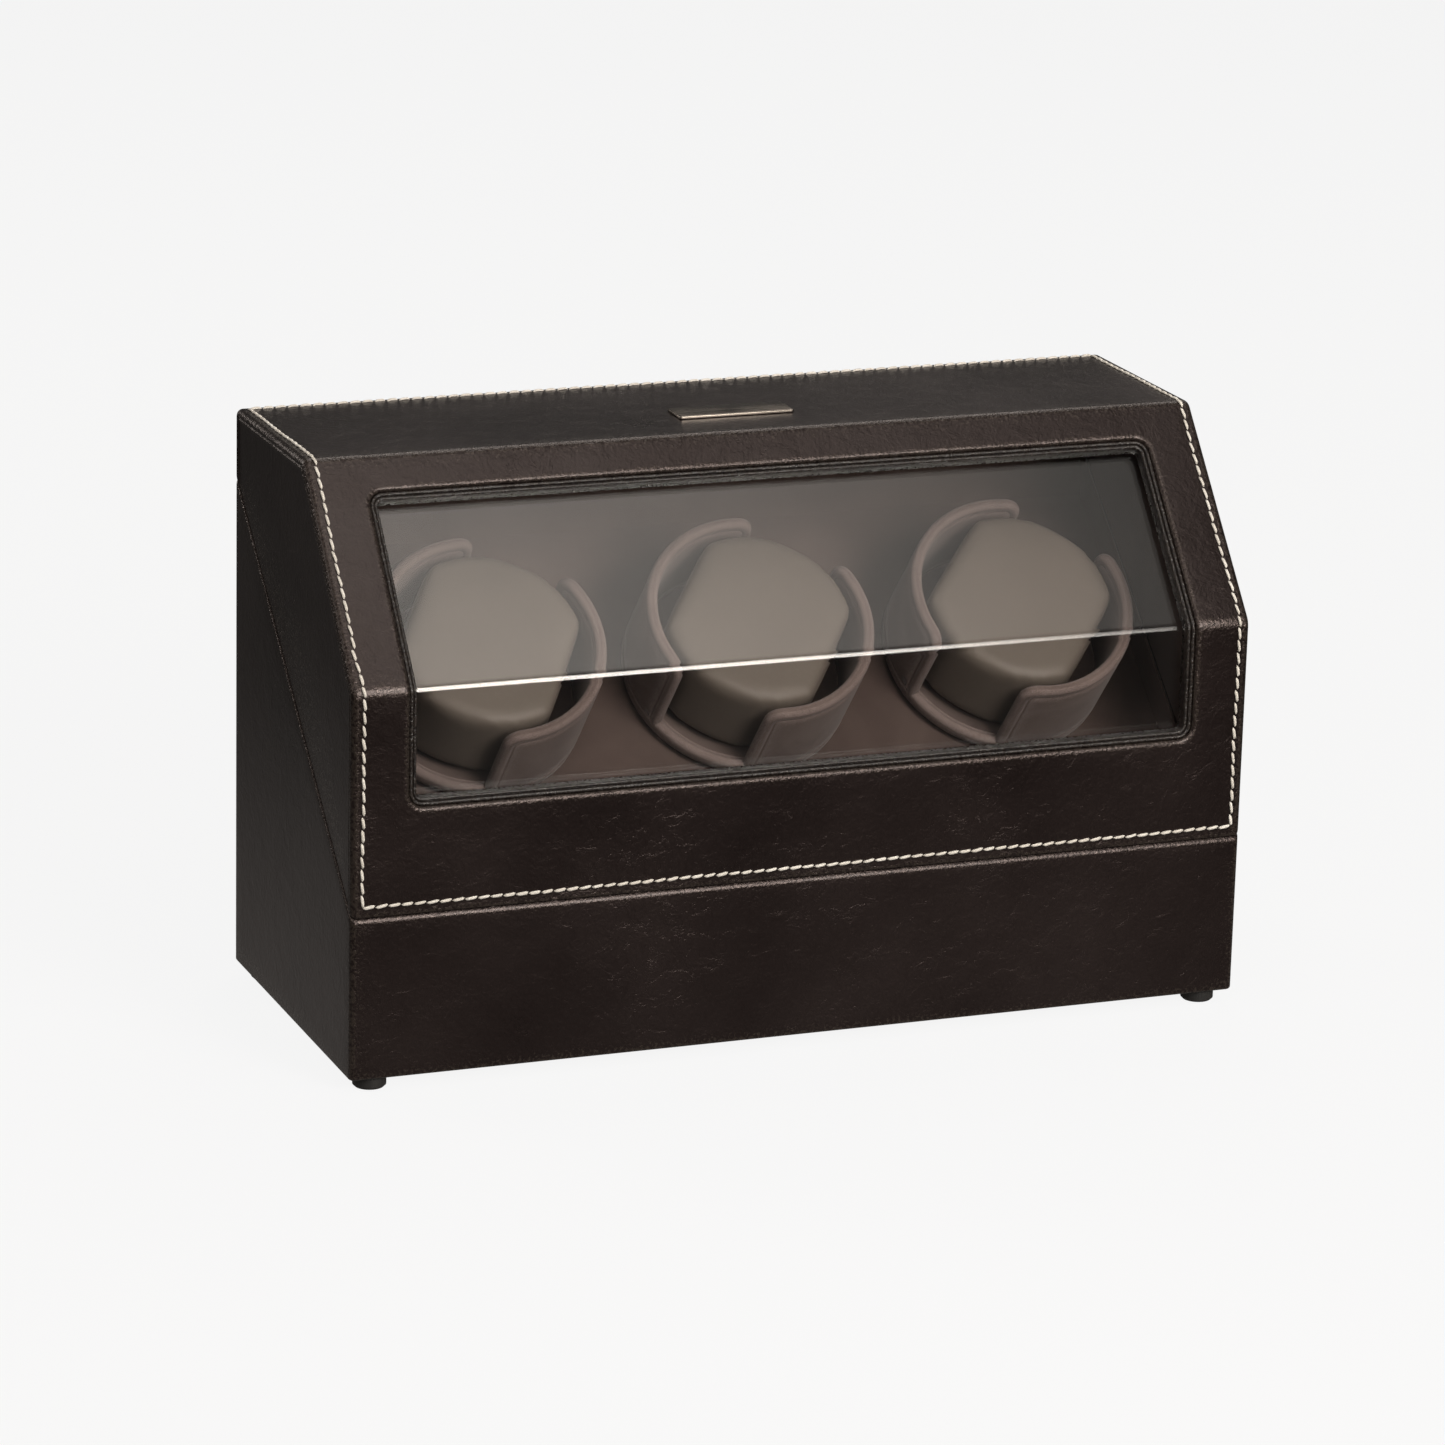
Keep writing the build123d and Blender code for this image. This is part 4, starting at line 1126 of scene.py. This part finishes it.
def buildCup(name):
    place, turn = cupFrame(name)
    low, rim, reach = axisSpan(f"cup_shell_{name}", name)
    wall, corner, step, steps, thick, hole = (
        cup[k] for k in ("wall", "topCorner", "step", "cornerSteps", "floorThick", "hubHole")
    )
    middle = reach - wall / 2
    gap = math.asin(cup["notchHalf"] / middle)
    wide = (math.pi - 2 * gap) * middle
    foot = low + cup["bandFoot"]
    ups = evenSteps(foot, rim - corner, step)[1:-1]
    outline = [(x, foot) for x in evenSteps(0, wide, step)] + [(wide, z) for z in ups]
    outline += arc(wide - corner, rim - corner, corner, 0, 90, steps)
    outline += [(x, rim) for x in evenSteps(corner, wide - corner, step)[-2:0:-1]]
    outline += arc(corner, rim - corner, corner, 90, 90, steps) + [(0, z) for z in reversed(ups)]
    stops = (evenSteps(0, wide, step), evenSteps(foot, rim, step))
    sewn = (cup["seamInset"], cup["seamDeep"])
    parts = []
    for half in (0, math.pi):
        def put(x, y, off, half=half):
            angle, radius = gap + x / middle + half, middle + off
            return place + turn @ Vector((radius * math.cos(angle), radius * math.sin(angle), y))
        parts.append(roundSheet(outline, wall, cup["edgeRound"], put, stops, *sewn))
    # the round tray that joins both bands
    outer, inner = reach - cup["trayInset"], reach - wall + cup["trayInset"]
    sill, foot, curve = low + cup["sillRise"], cup["footRound"], cup["floorRound"]
    bend = (outer - inner) / 2
    profile = [(hole, low), (outer - foot, low), (outer, low + foot)]
    profile += arc((outer + inner) / 2, sill - bend, bend, 0, 180, 8)
    profile += [(inner, low + thick + curve), (inner - curve, low + thick), (hole, low + thick)]
    parts.append(turnedFaces(
        profile, cup["around"], lambda x, y, z: place + turn @ Vector((x, y, z)), closed=True
    ))
    return joinParts(parts)


for name in cupNames:
    cupPiece = newPiece(
        f"cup_{name}", buildCup(name), finish["cupVelvet"], f"cup_{name}",
        f"cup_shell_{name}",
    )
    markWear(cupPiece, cup["fullWear"])
print("cups")

# Pillows: one is stuffed by cloth simulation, and the others are copies of it
pillow = {
    "model": "middle", "startScale": 0.955, "voxel": 3.0, "pressure": 4.0, "quality": 5,
    "frames": 20, "cap": 2.2, "fill": 0.9,
}


def pillowShape():
    name = pillow["model"]
    place, turn = cupFrame(name)
    low, high = axisSpan(f"watch_pillow_{name}", name)[:2]
    mesh = frame["nodes"][f"watch_pillow_{name}"].data.copy()
    back = turn.inverted()
    level = (low + high) / 2
    for v in mesh.vertices:
        v.co = (back @ (v.co / mm - place) - Vector((0, 0, level))) * mm * pillow["startScale"]
    return addObject("pillowShape", mesh), level


def useModifier(piece, kind, **settings):
    added = piece.modifiers.new(kind.lower(), kind)
    for key, value in settings.items():
        setattr(added, key, value)
    return added


def applyModifiers(piece):
    graph = bpy.context.evaluated_depsgraph_get()
    made = bpy.data.meshes.new_from_object(piece.evaluated_get(graph))
    piece.modifiers.clear()
    piece.data = made


def stuffPillow(shape):
    useModifier(shape, "REMESH", mode="VOXEL", voxel_size=pillow["voxel"] * mm)
    applyModifiers(shape)
    before = [v.co.copy() for v in shape.data.vertices]
    cloth = useModifier(shape, "CLOTH")
    cloth.settings.quality = pillow["quality"]
    cloth.settings.use_pressure = True
    cloth.settings.uniform_pressure_force = pillow["pressure"]
    cloth.settings.effector_weights.gravity = 0
    cloth.point_cache.frame_start = 1
    cloth.point_cache.frame_end = pillow["frames"]
    for step in range(1, pillow["frames"] + 1):
        scene.frame_set(step)
    applyModifiers(shape)
    scene.frame_set(1)
    cap = pillow["cap"] * mm
    for v, start in zip(shape.data.vertices, before):
        move = v.co - start
        if move.length > cap:
            v.co = start + move.normalized() * cap
    useModifier(shape, "SUBSURF", levels=1, render_levels=1)
    applyModifiers(shape)


pillowModel, pillowLevel = pillowShape()
stuffPillow(pillowModel)
for name in cupNames:
    place, turn = cupFrame(name)
    mesh = pillowModel.data.copy()
    for v in mesh.vertices:
        v.co = (place + turn @ (v.co / mm + Vector((0, 0, pillowLevel)))) * mm
    own = f"pillow_{name}"
    piece = placeMesh(own, mesh, finish["pillowLeather"], own, f"watch_{own}")
bpy.data.objects.remove(pillowModel)
print("pillows")

# Blank plate on the lid
plate = {"edge": 0.45, "corner": 0.8, "cornerSteps": 6}


def buildPlate():
    low, high = boxOf("blank_plate")
    level = (low.z + high.z) / 2
    outline = roundedLoop(low.xy, high.xy, plate["corner"], plate["cornerSteps"])
    return roundSheet(
        outline, high.z - low.z, plate["edge"], lambda x, y, off: Vector((x, y, level + off))
    )


platePiece = newPiece(
    "blankPlate", buildPlate(), finish["plateNickel"], "lid", "blank_plate"
)
platePiece.data.set_sharp_from_angle(angle=crispAngle)

# Contact pin in the power inlet
pin = {"radius": 0.95, "long": 8.5, "tip": 0.5, "sunk": 0.4, "around": 16}
inlet = next(m["pos_m"] for m in frame["record"]["mounts"] if m["name"] == "dc_inlet")


def buildPin():
    radius, long, tip = (pin[k] for k in ("radius", "long", "tip"))
    profile = [(0, 0), (radius, 0), (radius, long - tip), (radius - tip, long), (0, long)]
    start = Vector(inlet) / mm - Vector((0, long + pin["sunk"], 0))
    return turnedFaces(profile, pin["around"], lambda x, z, y: start + Vector((x, y, z)))


newPiece("inletPin", buildPin(), finish["nickelSteel"], "base")
print("plate and inlet pin")

# Stage: pale floor, soft lights and camera
stage = {
    "pale": 0.9216,
    "shade": 0.06,
    "farGlow": 0.06,
    "nearGlow": 0.22,
    "nearStart": 0.1,
    "nearReach": 0.55,
    "floorTint": (1, 0.93, 0.87, 1),
    "world": 0.07,
    "worldTint": (1, 0.97, 0.94, 1),
    "lampTint": (1, 0.94, 0.875),
    "floorSize": 30.0,
    "aim": (0, 0, 0.12),
}
white = (1, 1, 1, 1)


# one surface for the camera and another for all other rays
def paleSurface(tree, output, dim, seen):
    path = addNode(tree, "LightPath", {}).outputs["Is Camera Ray"]
    mixed = addNode(tree, "MixShader", {0: path, 1: dim, 2: seen}).outputs[0]
    tree.links.new(mixed, tree.nodes[output].inputs["Surface"])


def makeFloor():
    size = stage["floorSize"] / 2
    corners = [(-size, -size, 0), (size, -size, 0), (size, size, 0), (-size, size, 0)]
    mesh = bpy.data.meshes.new("floor")
    mesh.from_pydata(corners, [], [(0, 1, 2, 3)])
    material, tree = startMaterial("paleFloor")
    tree.nodes.remove(tree.nodes["Principled BSDF"])
    pale, shade = stage["pale"], stage["shade"]
    matte = addNode(tree, "BsdfDiffuse", {"Color": (shade, shade, shade, 1)}).outputs[0]
    bright = addNode(tree, "Emission", {"Color": white, "Strength": pale - shade * 0.6}).outputs[0]
    away = addNode(tree, "VectorMath", {0: objectPlace(tree)}, operation="LENGTH").outputs["Value"]
    glow = remap(tree, away, *(stage[k] for k in ("nearStart", "nearReach", "nearGlow", "farGlow")))
    dim = addNode(tree, "Emission", {"Color": stage["floorTint"], "Strength": glow}).outputs[0]
    both = addNode(tree, "AddShader", {0: matte, 1: bright}).outputs[0]
    paleSurface(tree, "Material Output", dim, both)
    mesh.materials.append(material)
    addObject("floor", mesh)


def makeWorld():
    world = bpy.data.worlds.new("studio")
    scene.world = world
    world.use_nodes = True
    tree = world.node_tree
    back = tree.nodes["Background"]
    back.inputs["Color"].default_value = stage["worldTint"]
    back.inputs["Strength"].default_value = stage["world"]
    seen = addNode(tree, "Background", {"Color": white, "Strength": stage["pale"]})
    paleSurface(tree, "World Output", back.outputs[0], seen.outputs[0])


# a soft box: brightest in its middle, fading to its edges
def softBox(name, place, wide, high, power, fade):
    lamp = bpy.data.lights.new(name, "AREA")
    lamp.shape = "RECTANGLE"
    lamp.size, lamp.size_y = wide, high
    lamp.energy = power
    lamp.color = stage["lampTint"]
    lamp.use_nodes = True
    tree = lamp.node_tree
    spot = addNode(tree, "NewGeometry", {}).outputs["Parametric"]
    inputs = {0: spot, 1: (0.5, 0.5, 0.0)}
    centred = addNode(tree, "VectorMath", inputs, operation="SUBTRACT").outputs[0]
    parts = addNode(tree, "SeparateXYZ", {0: centred}).outputs
    levels = []
    for axis in (0, 1):
        off = maths(tree, "ABSOLUTE", parts[axis])
        span = {"From Min": 0.5 - fade[axis] / 2, "From Max": 0.5, "To Min": 1.0, "To Max": 0.0}
        levels.append(addNode(
            tree, "MapRange", {"Value": off, **span}, interpolation_type="SMOOTHSTEP"
        ).outputs[0])
    tree.links.new(product(tree, *levels), tree.nodes["Emission"].inputs["Strength"])
    holder = addObject(name, lamp)
    holder.location = place
    holder.rotation_mode = "QUATERNION"
    away = Vector(place) - Vector(stage["aim"])
    holder.rotation_quaternion = away.to_track_quat("Z", "Y")
    holder.visible_camera = False


# name: place, width, height, power and how much of each side fades
softBoxes = {
    "overheadBox": ((0.12, -0.75, 1.75), 2.2, 1.3, 16, (0.8, 0.7)),
    "foldBox": ((0.4, -1.6, 0.82), 1.3, 1.0, 66, (0.9, 0.5)),
    "keyBox": ((-1.3, -1.5, 1.5), 0.9, 0.9, 8, (0.4, 0.4)),
    "sideBox": ((-1.7, -0.2, 1.1), 0.8, 0.8, 5, (0.6, 0.6)),
    "topBox": ((0.4, 0.7, 1.6), 1.0, 0.4, 3.5, (0.6, 0.6)),
    "rearBox": ((-1.3, 1.5, 0.9), 1.0, 0.8, 16, (0.6, 0.6)),
    "backBox": ((0.9, 1.6, 1.8), 1.6, 0.8, 12, (0.6, 0.6)),
}
makeFloor()
makeWorld()
for name, values in softBoxes.items():
    softBox(name, *values)

camera = {
    "azimuth": -21.466,
    "elevation": 16.32,
    "roll": 1.44,
    "distance": 2.1685,
    "target": (-0.00647, 0.0, 0.10226),
    "lens": 148.63,
    "sensor": 36,
    "clip": (0.05, 100),
}


def makeCamera():
    turn, rise, roll = (math.radians(camera[k]) for k in ("azimuth", "elevation", "roll"))
    level = math.cos(rise)
    back = Vector((math.sin(turn) * level, -math.cos(turn) * level, math.sin(rise)))
    right = Vector((math.cos(turn), math.sin(turn), 0))
    up = back.cross(right)
    tiltedRight = right * math.cos(roll) + up * math.sin(roll)
    tiltedUp = up * math.cos(roll) - right * math.sin(roll)
    data = bpy.data.cameras.new("camera")
    data.lens = camera["lens"]
    data.sensor_width = camera["sensor"]
    data.clip_start, data.clip_end = camera["clip"]
    holder = addObject("camera", data)
    facing = Matrix((tiltedRight, tiltedUp, back)).transposed().to_4x4()
    spot = Vector(camera["target"]) + back * camera["distance"]
    holder.matrix_world = Matrix.Translation(spot) @ facing
    scene.camera = holder


makeCamera()
scene.view_settings.view_transform = "Standard"
print("stage, lights and camera")
